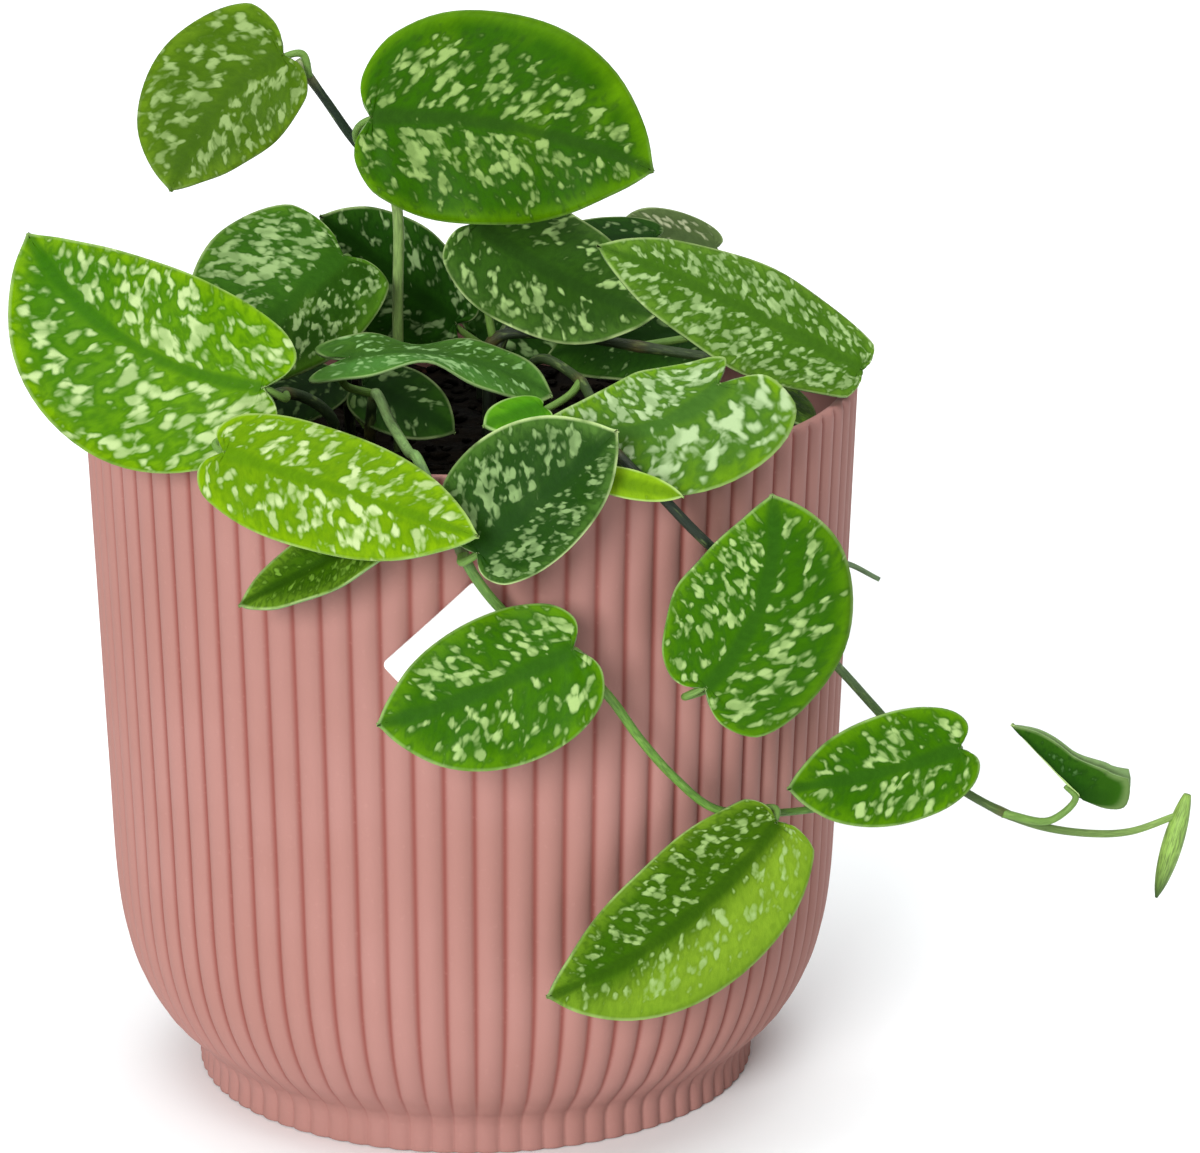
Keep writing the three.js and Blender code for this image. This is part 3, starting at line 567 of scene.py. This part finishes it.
def leaf_ground(paint, edge, side, broad, band, over):
    """The green between the blotches: warm at the rim, deep at the midrib and round them, with one half
    in painted light and shade.
    """
    # Painted light and shade: the half that tilt picks takes the shade colour.
    half = paint.step(paint.times(side, paint.read("tilt")), 0.0, 0.5)
    ground = paint.mix(half, paint.read("ground", "Color"), paint.read("shade", "Color"))
    rim = paint.step(edge, 0.0, 0.42, 0.75, 0.0)
    warm = paint.plus(rim, paint.step(broad, 0.52, 0.78, 0.0, 0.45))
    ground = paint.mix(paint.math("MINIMUM", warm, 1.0), ground, paint.read("rim", "Color"))
    weak = paint.minus(0.5, paint.times(half, 0.35))
    halo = paint.times(paint.step(over, -0.26, -0.06), weak)
    deep = paint.math("MAXIMUM", paint.times(band, 0.75), halo)
    return paint.mix(deep, ground, paint.read("band", "Color"))


def margin_line(paint, vein, edge):
    """Share of the thin, uneven pale line along the edge."""
    uneven = paint.step(paint.noise(vein, 1.6, 2.0), 0.32, 0.62, 0.25, 1.0)
    line = paint.times(paint.step(edge, 0.008, 0.06, 1.0, 0.0), paint.read("line"))
    return paint.times(paint.times(line, uneven), 0.8)


def leaf_material():
    """Upper face of a blade: green ground with silver blotches along its side veins."""
    paint = Paint("satin_leaf")
    vein = paint.read("vein", "Vector")
    edge = paint.read("edge")
    side = paint.read("side")
    broad = paint.noise(paint.scaled(vein, (1, 0.8, 1)), 1.3, 2.0)
    away = paint.plus(paint.math("ABSOLUTE", side), paint.times(paint.minus(broad, 0.5), 0.16))
    band = paint.step(away, 0.06, 0.25, 1.0, 0.0)
    over = blotch_lead(paint, vein, edge, broad, band)
    blotch = paint.step(over, -0.07, 0.085)
    inner = paint.step(over, 0.0, 0.15)
    ground = leaf_ground(paint, edge, side, broad, band, over)
    mottle = paint.noise(paint.scaled(vein, (1, 0.5, 1)), 11.0, 3.0, 0.6)
    dark = paint.step(mottle, 0.35, 0.7, 0.34, 0.0)
    ground = paint.mix(dark, ground, MOTTLE_TINT, "MULTIPLY")
    faint = paint.step(paint.noise(vein, 3.1, 1.0), 0.4, 0.58, 0.62, 1.0)
    strength = paint.times(paint.plus(0.7, paint.times(inner, 0.3)), faint)
    painted = paint.mix(paint.times(blotch, strength), ground, paint.read("spot", "Color"))
    painted = paint.mix(margin_line(paint, vein, edge), painted, colour(MARGIN_COLOUR))
    paint.finish(painted, paint.plus(0.44, paint.times(blotch, 0.14)), 0.03)
    fine = paint.noise(vein, 42.0, 2.0, 0.6)
    relief = paint.plus(paint.times(fine, 0.5), paint.times(inner, 0.35))
    paint.bump(paint.plus(relief, paint.times(mottle, 0.6)), 0.00012, 0.55)
    return paint.material


def underside_material():
    """Lower face of a blade: paler and matt, with its veins showing."""
    paint = Paint("leaf_underside")
    vein = paint.read("vein", "Vector")
    away = paint.math("ABSOLUTE", paint.read("side"))
    mottle = paint.noise(paint.scaled(vein, (1, 0.4, 1)), 7.0, 3.0, 0.6)
    pale = paint.mix(0.42, paint.read("ground", "Color"), colour(UNDERSIDE_PALE))
    pale = paint.mix(paint.step(mottle, 0.3, 0.75, 0.0, 0.4), pale, colour(UNDERSIDE_MOTTLE))
    midrib = paint.step(away, 0.02, 0.07, 0.8, 0.0)
    paint.finish(paint.mix(midrib, pale, colour(UNDERSIDE_MIDRIB)), 0.6, 0.25)
    paint.bump(paint.plus(mottle, midrib), 0.00015, 0.6)
    return paint.material


def stem_material():
    """Stems and stalks: olive, lengthwise streaks, and brown scars at the joints."""
    paint = Paint("vine_stem")
    vein = paint.read("vein", "Vector")
    streak = paint.noise(paint.scaled(vein, (2.0, 9.0, 1)), 2.2, 3.0, 0.55)
    patch = paint.noise(vein, 3.0, 2.0)
    ground, rim = paint.read("ground", "Color"), paint.read("rim", "Color")
    tone = paint.mix(paint.step(streak, 0.35, 0.7), ground, rim)
    tone = paint.mix(paint.step(patch, 0.55, 0.8, 0.0, 0.3), tone, colour(STEM_PATCH))
    paint.finish(tone, paint.step(streak, 0.2, 0.8, 0.42, 0.6), 0.35)
    paint.bump(paint.plus(streak, paint.noise(vein, 30.0, 2.0)), 0.0002, 0.5)
    return paint.material


def pot_material():
    """Pink satin glaze with painted shade in the creases, and a fine grain."""
    paint = Paint("pot_pink")
    place = paint.position()
    cloud = paint.noise(place, 28.0, 3.0, 0.55)
    grain = paint.noise(place, 900.0, 2.0, 0.6)
    tone = paint.mix(paint.step(cloud, 0.3, 0.7), *map(colour, POT_TONES))
    # Painted shade: the creases between ribs are drawn darker and redder.
    crease = paint.step(paint.read("crease"), 0.4, 1.0, 0.0, 0.7)
    tone = paint.mix(crease, tone, colour(POT_CREASE_SHADE))
    tone = paint.mix(paint.step(grain, 0.62, 0.75, 0.0, 0.14), tone, colour(POT_SPECK))
    paint.finish(tone, paint.step(cloud, 0.2, 0.8, 0.55, 0.65), 0.1)
    paint.bump(paint.plus(grain, cloud), 0.00006, 0.5)
    return paint.material


def soil_material():
    """Dark potting mix, near black with painted shade of the pot's shaded inside, with brown fibres and
    a few reddish crumbs.
    """
    paint = Paint("potting_soil")
    place = paint.position()
    coarse = paint.noise(place, 160.0, 4.0, 0.65)
    crumb = paint.cells(place, 420.0)
    tint = paint.noise(place, 55.0, 2.0)
    tone = paint.mix(paint.step(coarse, 0.3, 0.75), *map(colour, SOIL_AND_SHADE_TONES))
    tone = paint.mix(paint.step(tint, 0.62, 0.72, 0.0, 0.5), tone, colour(SOIL_FIBRE))
    tone = paint.mix(paint.step(crumb, 0.1, 0.5, 0.0, 0.5), tone, colour(SOIL_CRUMB))
    paint.finish(tone, paint.step(coarse, 0.3, 0.7, 0.75, 0.95), 0.05)
    paint.bump(paint.plus(coarse, crumb), 0.0012, 0.9)
    return paint.material


def label_material():
    """Smooth white card with a faint fibre."""
    paint = Paint("white_card")
    place = paint.position()
    fibre = paint.noise(paint.scaled(place, (1, 1, 3)), 500.0, 3.0, 0.6)
    smudge = paint.step(paint.noise(place, 90.0, 2.0), 0.55, 0.8, 0.0, 0.2)
    tone = paint.mix(paint.step(fibre, 0.35, 0.7), *map(colour, LABEL_TONES))
    tone = paint.mix(smudge, tone, colour(LABEL_SMUDGE))
    paint.finish(tone, paint.step(fibre, 0.3, 0.7, 0.36, 0.46))
    paint.bump(fibre, 0.00003, 0.4)
    return paint.material


def floor_material():
    """Matt, pale floor with a barely seen tone."""
    paint = Paint("studio_floor")
    cloud = paint.noise(paint.position(), 2.0, 2.0)
    paint.finish(paint.mix(cloud, *FLOOR_TONES), 0.8, 0.1)
    return paint.material


# ---- Mesh building ----

FLOATS = ("edge", "side", "cover", "tilt", "line", "crease")
VECTORS = ("vein",)
COLOURS = ("ground", "rim", "spot", "band", "shade")
# Material slots of a vine.
UPPER, UNDER, STEM = range(3)
# What a stem's points say where only a blade's material reads it.
STEM_VALUES = {
    "spot": (0, 0, 0, 1), "band": (0, 0, 0, 1), "shade": (0, 0, 0, 1),
    "edge": 1.0, "side": 0.0, "cover": 0.0, "tilt": 0.0, "line": 0.0,
}


class Form:
    """Points and faces of one piece, with the values its materials read."""

    def __init__(self, reads):
        self.points = []
        self.faces = []
        self.slots = []
        self.values = {name: [] for name in reads}

    def point(self, place, **values):
        """Adds a point, in millimetres, and returns its number."""
        self.points.append([c * MM for c in place])
        for name, kept in self.values.items():
            kept.append(values[name])
        return len(self.points) - 1

    def face(self, corners, slot=0):
        corners = [c for k, c in enumerate(corners) if c not in corners[:k]]
        if len(corners) > 2:
            self.faces.append(corners)
            self.slots.append(slot)

    def strip(self, lower, upper, slot=0):
        """A closed band of faces between two rings of the same count."""
        for k in range(len(lower)):
            n = (k + 1) % len(lower)
            self.face([lower[k], lower[n], upper[n], upper[k]], slot)

    def shell(self, rows, slot=0):
        """A closed shell: a band between each two rows, and a face at both ends."""
        for lower, upper in zip(rows, rows[1:]):
            self.strip(lower, upper, slot)
        self.face(rows[0][::-1], slot)
        self.face(rows[-1], slot)

    def build(self, name, materials, node):
        """The finished object, standing for a node of the frame."""
        mesh = bpy.data.meshes.new(name)
        mesh.from_pydata(self.points, [], self.faces)
        for material in materials:
            mesh.materials.append(material)
        mesh.polygons.foreach_set("material_index", self.slots)
        mesh.polygons.foreach_set("use_smooth", [True] * len(self.faces))
        for key, kept in self.values.items():
            self.write(mesh, key, kept)
        mesh.update()
        piece = put_in_scene(name, mesh)
        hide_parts(node)
        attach(piece, "root")
        return piece

    def write(self, mesh, key, kept):
        if key in FLOATS:
            mesh.attributes.new(key, "FLOAT", "POINT").data.foreach_set("value", kept)
            return
        kind, part = ("FLOAT_VECTOR", "vector") if key in VECTORS else ("FLOAT_COLOR", "color")
        flat = [c for v in kept for c in v]
        mesh.attributes.new(key, kind, "POINT").data.foreach_set(part, flat)


def spline(rows, position):
    """A smooth value between the rows of a table, at row number position."""
    k = min(int(position), len(rows) - 2)
    t = position - k
    before = rows[max(k - 1, 0)]
    after = rows[min(k + 2, len(rows) - 1)]
    out = []
    for p0, p1, p2, p3 in zip(before, rows[k], rows[k + 1], after):
        pull = 0.5 * (p2 - p0)
        push = 0.5 * (p3 - p1)
        a = 2 * (p1 - p2) + pull + push
        b = 3 * (p2 - p1) - 2 * pull - push
        out.append(((a * t + b) * t + pull) * t + p1)
    return out


def smooth_rows(rows, steps):
    """The rows of a profile with more rows between them on a smooth line."""
    count = (len(rows) - 1) * steps
    return [spline(rows, k / steps) for k in range(count + 1)]


def ring_point(radius, angle, height):
    return (radius * math.cos(angle), radius * math.sin(angle), height)


# ---- Pot ----


def ribbed_row(form, radius, height, depth):
    """Points round the pot, with a rounded rib between each two sharp creases."""
    row = []
    count = RIB_COUNT * RIB_COLUMNS
    for k in range(count):
        t = 2 * (k % RIB_COLUMNS) / RIB_COLUMNS - 1
        fall = abs(t) ** RIB_ROUNDNESS
        place = ring_point(radius - depth * fall, 2 * math.pi * k / count, height)
        # The crease value is painted shade, most at the bottom of each crease.
        row.append(form.point(place, crease=fall * depth / RIB_DEPTH))
    return row


def make_pot(material):
    form = Form(["crease"])
    profile = POT_UNDERSIDE + smooth_rows(POT_FOOT, FOOT_ROWS)
    profile += smooth_rows(POT_WALL, WALL_ROWS) + POT_RIM
    profile += [(r, z, 0) for r, z in smooth_rows(POT_INSIDE, INSIDE_ROWS)]
    form.shell([ribbed_row(form, r, z, depth) for r, z, depth in profile])
    return form.build("pot_ribbed", [material], "pot")


# ---- Soil ----


def soil_height(x, y):
    """Height of the uneven soil top at a place, in millimetres."""
    gentle = math.sin(x * 0.31) * math.cos(y * 0.27 + 1)
    rough = noise.fractal(Vector((x * 0.16, y * 0.16, 3.0)), 1.0, 2.0, 4)
    return SOIL_TOP + SOIL_SWELL * gentle + SOIL_ROUGHNESS * rough


def add_crumb(form, rng):
    """One small lump of soil or bark lying on the top."""
    reach = SOIL_EDGE * 0.96 * math.sqrt(rng.random())
    turn = rng.uniform(0, 2 * math.pi)
    x, y = reach * math.cos(turn), reach * math.sin(turn)
    size = rng.uniform(0.4, 1.5)
    spin = rng.uniform(0, math.pi)
    stretch = rng.uniform(1.0, 2.0)
    centre = (x, y, soil_height(x, y) + size * 0.25)
    rings = []
    for lift, share in CRUMB_RINGS:
        ring = []
        for k in range(CRUMB_SIDES):
            angle = 2 * math.pi * k / CRUMB_SIDES + lift
            r = size * share * rng.uniform(0.8, 1.15)
            u, v = r * stretch * math.cos(angle), r * math.sin(angle)
            place = (centre[0] + u * math.cos(spin) - v * math.sin(spin),
                     centre[1] + u * math.sin(spin) + v * math.cos(spin),
                     centre[2] + size * lift * 0.7)
            ring.append(form.point(place))
        rings.append(ring)
    form.shell(rings)


def make_soil(material):
    form = Form([])
    rows = []
    angles = [2 * math.pi * k / SOIL_COLUMNS for k in range(SOIL_COLUMNS)]
    for r, z in SOIL_SIDE:
        rows.append([form.point(ring_point(r, a, z)) for a in angles])
    for ring in range(SOIL_RINGS):
        r = SOIL_EDGE * (1 - ring / SOIL_RINGS)
        row = []
        for a in angles:
            x, y, _ = ring_point(r, a, 0)
            row.append(form.point((x, y, soil_height(x, y))))
        rows.append(row)
    form.shell(rows)
    rng = random.Random(SEED)
    for _ in range(CRUMBS):
        add_crumb(form, rng)
    return form.build("soil_bed", [material], "soil")


# ---- Label ----


def wall_radius(height):
    """Radius of the pot's crests at a height, straight between the profile's rows."""
    for (r0, z0, _), (r1, z1, _) in zip(POT_WALL, POT_WALL[1:]):
        if height <= z1:
            return r0 + (r1 - r0) * (height - z0) / (z1 - z0)
    return POT_WALL[-1][0]


def rounded(u, v):
    """A place on the square card, drawn in where it lies at a rounded corner."""
    flat = LABEL_SIDE / 2 - LABEL_CORNER
    cu, cv = clamp(u, -flat, flat), clamp(v, -flat, flat)
    du, dv = u - cu, v - cv
    if du and dv:
        share = max(abs(du), abs(dv)) / math.hypot(du, dv)
        du, dv = du * share, dv * share
    return cu + du, cv + dv


def label_place(u, v, lift):
    across = u * math.cos(LABEL_TURN) - v * math.sin(LABEL_TURN)
    z = LABEL_HEIGHT + u * math.sin(LABEL_TURN) + v * math.cos(LABEL_TURN)
    r = wall_radius(z) + LABEL_GAP + lift
    return ring_point(r, -math.pi / 2 + across / r, z)


def make_label(material):
    form = Form([])
    spots = [LABEL_SIDE * (k / LABEL_CELLS - 0.5) for k in range(LABEL_CELLS + 1)]
    sheets = []
    for lift in (0, LABEL_THICKNESS):
        sheets.append([[form.point(label_place(*rounded(u, v), lift)) for v in spots] for u in spots])
    back, front = sheets
    for i in range(LABEL_CELLS):
        for j in range(LABEL_CELLS):
            form.face([front[i][j], front[i + 1][j], front[i + 1][j + 1], front[i][j + 1]])
            form.face([back[i][j], back[i][j + 1], back[i + 1][j + 1], back[i + 1][j]])
    last = LABEL_CELLS
    border = [(k, 0) for k in range(last)] + [(last, k) for k in range(last)]
    border += [(k, last) for k in range(last, 0, -1)] + [(0, k) for k in range(last, 0, -1)]
    form.strip([back[i][j] for i, j in border], [front[i][j] for i, j in border])
    piece = form.build("label_card", [material], "label")
    piece.data.set_sharp_from_angle(angle=LABEL_SHARP)
    return piece


# ---- Leaves ----


def leaf_frame(row):
    """The blade's own axes: along it, across it, and out of its face."""
    blade = dict(row)
    blade["origin"] = Vector(row["base"])
    along = Vector(row["tip"]) - blade["origin"]
    blade["length"] = along.length
    along.normalize()
    face = Vector(row["face"])
    out = (face - along * face.dot(along)).normalized()
    blade["along"], blade["out"], blade["side"] = along, out, out.cross(along)
    return blade


def blade_point(blade, along_share, across):
    """Point of the blade's middle surface at a share of length and half width."""
    a = along_share * blade["lobe"] if along_share < 0 else along_share
    ahead, behind = max(a, 0), min(a, 0)
    half = blade["width"] / 2
    sign = (across > 0) - (across < 0)
    waist = clamp(1 - a / WAIST_END, 0, WAIST_LIMIT)
    y = across * half * (1 + blade["asym"] * sign) * (1 - blade["narrow"] * waist * waist)
    bow = 4 * (ahead * (1 - ahead) + behind)
    slope = 4 * blade["skew"] * (1 - 2 * ahead)
    turn = 1 / math.hypot(1, slope)
    soft = blade["width"] * FOLD_SOFTNESS
    phase = 2 * math.pi * (WAVES * a + blade["phase"] + (0 if across > 0 else WAVE_SHIFT))
    rise = (
        blade["arch"] * blade["length"] * bow
        + blade["fold"] * (math.hypot(y, soft) - soft)
        - blade["curl"] * y * y / half
        + blade["sway"] * y * (a - SWAY_CENTRE) ** 2
        + blade["wave"] * abs(across) ** WAVE_POWER * math.sin(phase)
    )
    slant = y * slope * turn + blade["lean"] * max(y, 0) * (1 - ahead) ** 2
    return (
        blade["origin"]
        + blade["along"] * (a * blade["length"] - slant)
        + blade["side"] * (blade["skew"] * blade["length"] * bow + y * turn)
        + blade["out"] * rise
    )


def vein_relief(share, t, length):
    """How far the side veins and the midrib sink into the face, in millimetres."""
    quilt = QUILTING * math.cos(2 * math.pi * SIDE_VEINS * share) * math.sin(math.pi * t) ** 0.7
    groove = MIDRIB_GROOVE * math.exp(-(t / 0.1) ** 2) * (1 - share)
    return (quilt - groove) * min(length / 40, 1.2)


def blade_style(style, along, t, side):
    """A look's values at a share of the blade's length and of its half width."""
    away = clamp(along)
    margin = style["bare"][side > 0] * clamp((t - 0.6) / 0.3)
    core = style["core"] * clamp(1 - t / 0.5)
    return {
        **style,
        "ground": blend(style["ground"], style["far"], away),
        "spot": tuple(c * SPOT_GAIN * (1 - style["dim"] * (1 - away)) for c in style["spot"]),
        "tilt": style["tilt"] * (1 - style["fade"] * away),
        "cover": style["cover"][side > 0] - margin - core,
    }


def blade_row(blade, style, side, step):
    """(place, share of the width, values) along the side vein at a step of the outline."""
    share = step / (len(OUTLINE) - 1)
    along, across, root = spline(OUTLINE, step)
    root = max(root, 0) if step > LOBE_ROWS else 0
    across = max(across, 0)
    half = blade["width"] / 2 / MM_PER_CM * math.hypot(1, blade["fold"])
    length = blade["length"] / MM_PER_CM
    reach = math.hypot((along - root) * length, across * half)
    fine = style["fine"]
    row = []
    for j in range(VEIN_STEPS + 1):
        t = j / VEIN_STEPS
        a = root + (along - root) * t ** VEIN_SWEEP
        place = blade_point(blade, a, side * across * t)
        place += blade["out"] * vein_relief(share, t, blade["length"])
        width = across * t * half
        vein = (fine * (a * length - VEIN_SLANT * width), fine * side * width, blade["seed"])
        values = {"vein": vein, "side": side * t * reach, "edge": (1 - t) * reach}
        row.append((place, t, {**values, **blade_style(style, a, t, side)}))
    return row


def blade_normals(grid):
    """Normal of each grid point, from its neighbours along and across."""
    normals = []
    for i, row in enumerate(grid):
        line = []
        for j in range(len(row)):
            up = grid[min(i + 1, len(grid) - 1)][j][0] - grid[max(i - 1, 0)][j][0]
            over = row[min(j + 1, len(row) - 1)][0] - row[max(j - 1, 0)][0]
            normal = up.cross(over)
            line.append(normal.normalized() if normal.length > 1e-9 else None)
        normals.append(line)
    return normals


def sheet_normal(blade, normal, side, at_midrib):
    """Which way the two sheets lie apart at one point of the blade's grid."""
    if normal is None or at_midrib:
        return blade["out"]
    if blade["fold"] >= 1:
        return -normal if side > 0 else normal
    return -normal if normal.dot(blade["out"]) < 0 else normal


def add_sheet(form, blade, grid, side, lift):
    """Points of one sheet, half a thickness over or under the middle surface."""
    sheet = []
    for line, normals in zip(grid, blade_normals(grid)):
        points = []
        for j, (place, t, values) in enumerate(line):
            normal = sheet_normal(blade, normals[j], side, j == 0)
            thick = BLADE_THICKNESS + (MARGIN_THICKNESS - BLADE_THICKNESS) * t ** 2
            points.append(form.point(place + normal * thick * lift, **values))
        sheet.append(points)
    return sheet


def add_half(form, upper, lower, flip):
    """Faces of one half: the upper and the lower sheet, and the margin between them."""
    turn = -1 if flip else 1
    for i in range(len(upper) - 1):
        for j in range(VEIN_STEPS):
            over = [upper[i][j], upper[i + 1][j], upper[i + 1][j + 1], upper[i][j + 1]]
            under = [lower[i][j], lower[i][j + 1], lower[i + 1][j + 1], lower[i + 1][j]]
            form.face(over[::turn], UPPER)
            form.face(under[::turn], UNDER)
        rim = [upper[i][-1], upper[i + 1][-1], lower[i + 1][-1], lower[i][-1]]
        form.face(rim[::turn], UNDER)


def add_blade(form, row, seed):
    """One blade, each half on its own."""
    blade = leaf_frame(row)
    blade["seed"] = seed
    style = dict(LOOKS[row["look"]])
    style.update({name: colour(style[name], GREEN_SHARE) for name in (*COLOURS, "far")})
    steps = [k / OUTLINE_STEPS for k in range((len(OUTLINE) - 1) * OUTLINE_STEPS + 1)]
    for side in (1, -1):
        grid = [blade_row(blade, style, side, step) for step in steps]
        upper, lower = (add_sheet(form, blade, grid, side, lift) for lift in (0.5, -0.5))
        add_half(form, upper, lower, side < 0)
    return blade


# ---- Stems, stalks, buds and roots ----


def route_point(points, position):
    """A place on the smooth line through the points, with even pull by chord length."""
    k = min(int(position), len(points) - 2)
    t = position - k
    p1, p2 = points[k], points[k + 1]
    p0 = points[k - 1] if k > 0 else p1 * 2 - p2
    p3 = points[k + 2] if k + 2 < len(points) else p2 * 2 - p1
    d0, d1, d2 = ((b - a).length ** 0.5 or 1.0 for a, b in ((p0, p1), (p1, p2), (p2, p3)))
    pull = ((p1 - p0) / d0 - (p2 - p0) / (d0 + d1) + (p2 - p1) / d1) * d1
    push = ((p2 - p1) / d1 - (p3 - p1) / (d1 + d2) + (p3 - p2) / d2) * d1
    a = (p1 - p2) * 2 + pull + push
    b = (p2 - p1) * 3 - pull * 2 - push
    return ((a * t + b) * t + pull) * t + p1


def add_tube(form, route, radius_at, tones, seed):
    """A round tube along a route. radius_at(share) gives its radius, tones its colours."""
    points = [Vector(p) for p in route]
    count = (len(points) - 1) * STEM_STEPS
    line = [route_point(points, k / STEM_STEPS) for k in range(count + 1)]
    across = Vector((0.31, 0.17, 0.93)).cross(line[1] - line[0]).normalized()
    rows = []
    travelled = 0.0
    for k, place in enumerate(line):
        way = (line[min(k + 1, count)] - line[max(k - 1, 0)]).normalized()
        across = (across - way * across.dot(way)).normalized()
        other = way.cross(across)
        if k:
            travelled += (place - line[k - 1]).length
        radius = radius_at(k / count, place)
        ground, rim = tones(k / count, place)
        row = []
        for s in range(STEM_SIDES):
            angle = 2 * math.pi * s / STEM_SIDES
            spot = place + (across * math.cos(angle) + other * math.sin(angle)) * radius
            vein = (travelled / MM_PER_CM, math.cos(angle) * 0.4, seed + math.sin(angle) * 0.4)
            row.append(form.point(spot, vein=vein, ground=ground, rim=rim, **STEM_VALUES))
        rows.append(row)
    form.shell(rows, STEM)


def nearest_joint(vine, place):
    """Distance from a place on a stem to the nearest foot of a stalk."""
    return min((place - Vector(row["start"])).length for row in vine["leaves"])


def stem_radius(vine):
    """Radius along a stem: slimmer at its growing end, swollen at each joint."""

    def radius_at(share, place):
        swell = NODE_SWELL * math.exp(-(nearest_joint(vine, place) / NODE_REACH) ** 2)
        return vine["radius"] * (vine["slim"] - STEM_TAPER * share ** 3) * (1 + swell)

    return radius_at


def stem_tones(vine):
    """Colours along a stem, with painted shade in its dark spans, browner at each joint."""
    scar = colour(STEM_NODE_COLOUR, GREEN_SHARE)
    bands = [(at, colour(rgb, GREEN_SHARE)) for at, rgb in vine["tones"]]

    def tones(share, place):
        for (a0, c0), (a1, c1) in zip(bands, bands[1:]):
            if a0 <= share <= a1:
                base = blend(c0, c1, (share - a0) / (a1 - a0))
        mark = 0.7 * math.exp(-(nearest_joint(vine, place) / SCAR_REACH) ** 2)
        ground = blend(base, scar, mark)
        return ground, dimmed(ground, STEM_STREAK)

    return tones


def plain_tones(rgb):
    ground = colour(rgb, GREEN_SHARE)
    return lambda share, place: (ground, dimmed(ground, STALK_STREAK))


def add_stalk(form, blade, seed):
    """Leaf stalk from the stem to the notch, running on under the midrib."""
    under = blade["out"] * -STALK_UNDER
    notch = blade_point(blade, 0, 0) + under
    hold = blade_point(blade, STALK_HOLD, 0) + under
    start = Vector(blade["start"])
    bend = start.lerp(notch, 0.6) - blade["along"] * 2.5
    via = [Vector(p) for p in blade["via"]] if blade["via"] else [bend]
    route = [start, *via, notch, hold]

    def radius_at(share, place):
        radius = STALK_BASE + (STALK_TOP - STALK_BASE) * clamp(share * 1.4)
        return radius - STALK_END * clamp(share * 4 - 3)

    add_tube(form, route, radius_at, plain_tones(STALK_COLOUR), seed)


def add_bud(form, bud, seed):
    """A young leaf still rolled up: a slim spindle with a dark, pointed end."""
    start, end = Vector(bud["start"]), Vector(bud["to"])
    route = [start.lerp(end, k / 4) for k in range(5)]
    start_tone, end_tone = (colour(rgb, GREEN_SHARE) for rgb in (BUD_COLOUR, BUD_TIP_COLOUR))

    def radius_at(share, place):
        return max(bud["radius"] * math.sin(math.pi * clamp(share * 0.94 + 0.06)) ** 0.6, 0.25)

    def tones(share, place):
        ground = blend(start_tone, end_tone, clamp(share * 2.2 - 1.2))
        return ground, dimmed(ground, BUD_STREAK)

    add_tube(form, route, radius_at, tones, seed)


def make_vine(node, vine, materials, seed):
    """One leafy stem, with everything that grows on it."""
    form = Form(["vein", "edge", "side", "cover", "tilt", "line", *COLOURS])
    add_tube(form, vine["stem"], stem_radius(vine), stem_tones(vine), seed)
    for k, row in enumerate(vine["leaves"]):
        mark = seed + 1.7 * (k + 1)
        blade = add_blade(form, row, mark)
        add_stalk(form, blade, mark)
    for bud in vine["buds"]:
        add_bud(form, bud, seed)
    for route in vine["roots"]:
        add_tube(form, route, lambda share, place: ROOT_RADIUS * (1 - 0.4 * share),
                 plain_tones(ROOT_COLOUR), seed)
    return form.build(node + "_leafy", materials, node)


# ---- Scene ----


def make_floor():
    mesh = bpy.data.meshes.new("floor")
    angles = [2 * math.pi * k / FLOOR_SIDES for k in range(FLOOR_SIDES)]
    corners = [ring_point(FLOOR_RADIUS * MM, angle, FLOOR_HEIGHT * MM) for angle in angles]
    mesh.from_pydata(corners, [], [list(range(FLOOR_SIDES))])
    mesh.materials.append(floor_material())
    put_in_scene("floor", mesh)


def make_camera():
    camera = put_in_scene("camera", bpy.data.cameras.new("camera"))
    camera.data.lens = CAMERA_LENS
    camera.data.sensor_width = CAMERA_SENSOR
    camera.location = [c * MM for c in CAMERA_PLACE]
    camera.rotation_euler = (math.radians(90 - CAMERA_PITCH), 0, math.radians(-CAMERA_YAW))
    camera.data.clip_start, camera.data.clip_end = CAMERA_CLIP
    bpy.context.scene.camera = camera


def make_lights():
    for name, (place, strength, softness) in SUNS.items():
        sun = put_in_scene(name, bpy.data.lights.new(name, "SUN"))
        sun.data.energy = strength
        sun.data.angle = math.radians(softness)
        sun.rotation_euler = Vector(place).to_track_quat("Z", "Y").to_euler()
    world = bpy.data.worlds.new("studio")
    bpy.context.scene.world = world
    world.use_nodes = True
    fill = world.node_tree.nodes["Background"]
    fill.inputs["Color"].default_value = (1, 1, 1, 1)
    fill.inputs["Strength"].default_value = FILL_STRENGTH


def main():
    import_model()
    bpy.context.scene.view_settings.view_transform = "Standard"
    make_camera()
    make_lights()
    make_floor()
    make_pot(pot_material())
    make_soil(soil_material())
    make_label(label_material())
    greens = [leaf_material(), underside_material(), stem_material()]
    for k, (node, vine) in enumerate(VINES.items()):
        make_vine(node, vine, greens, 20.0 * (k + 1))


main()
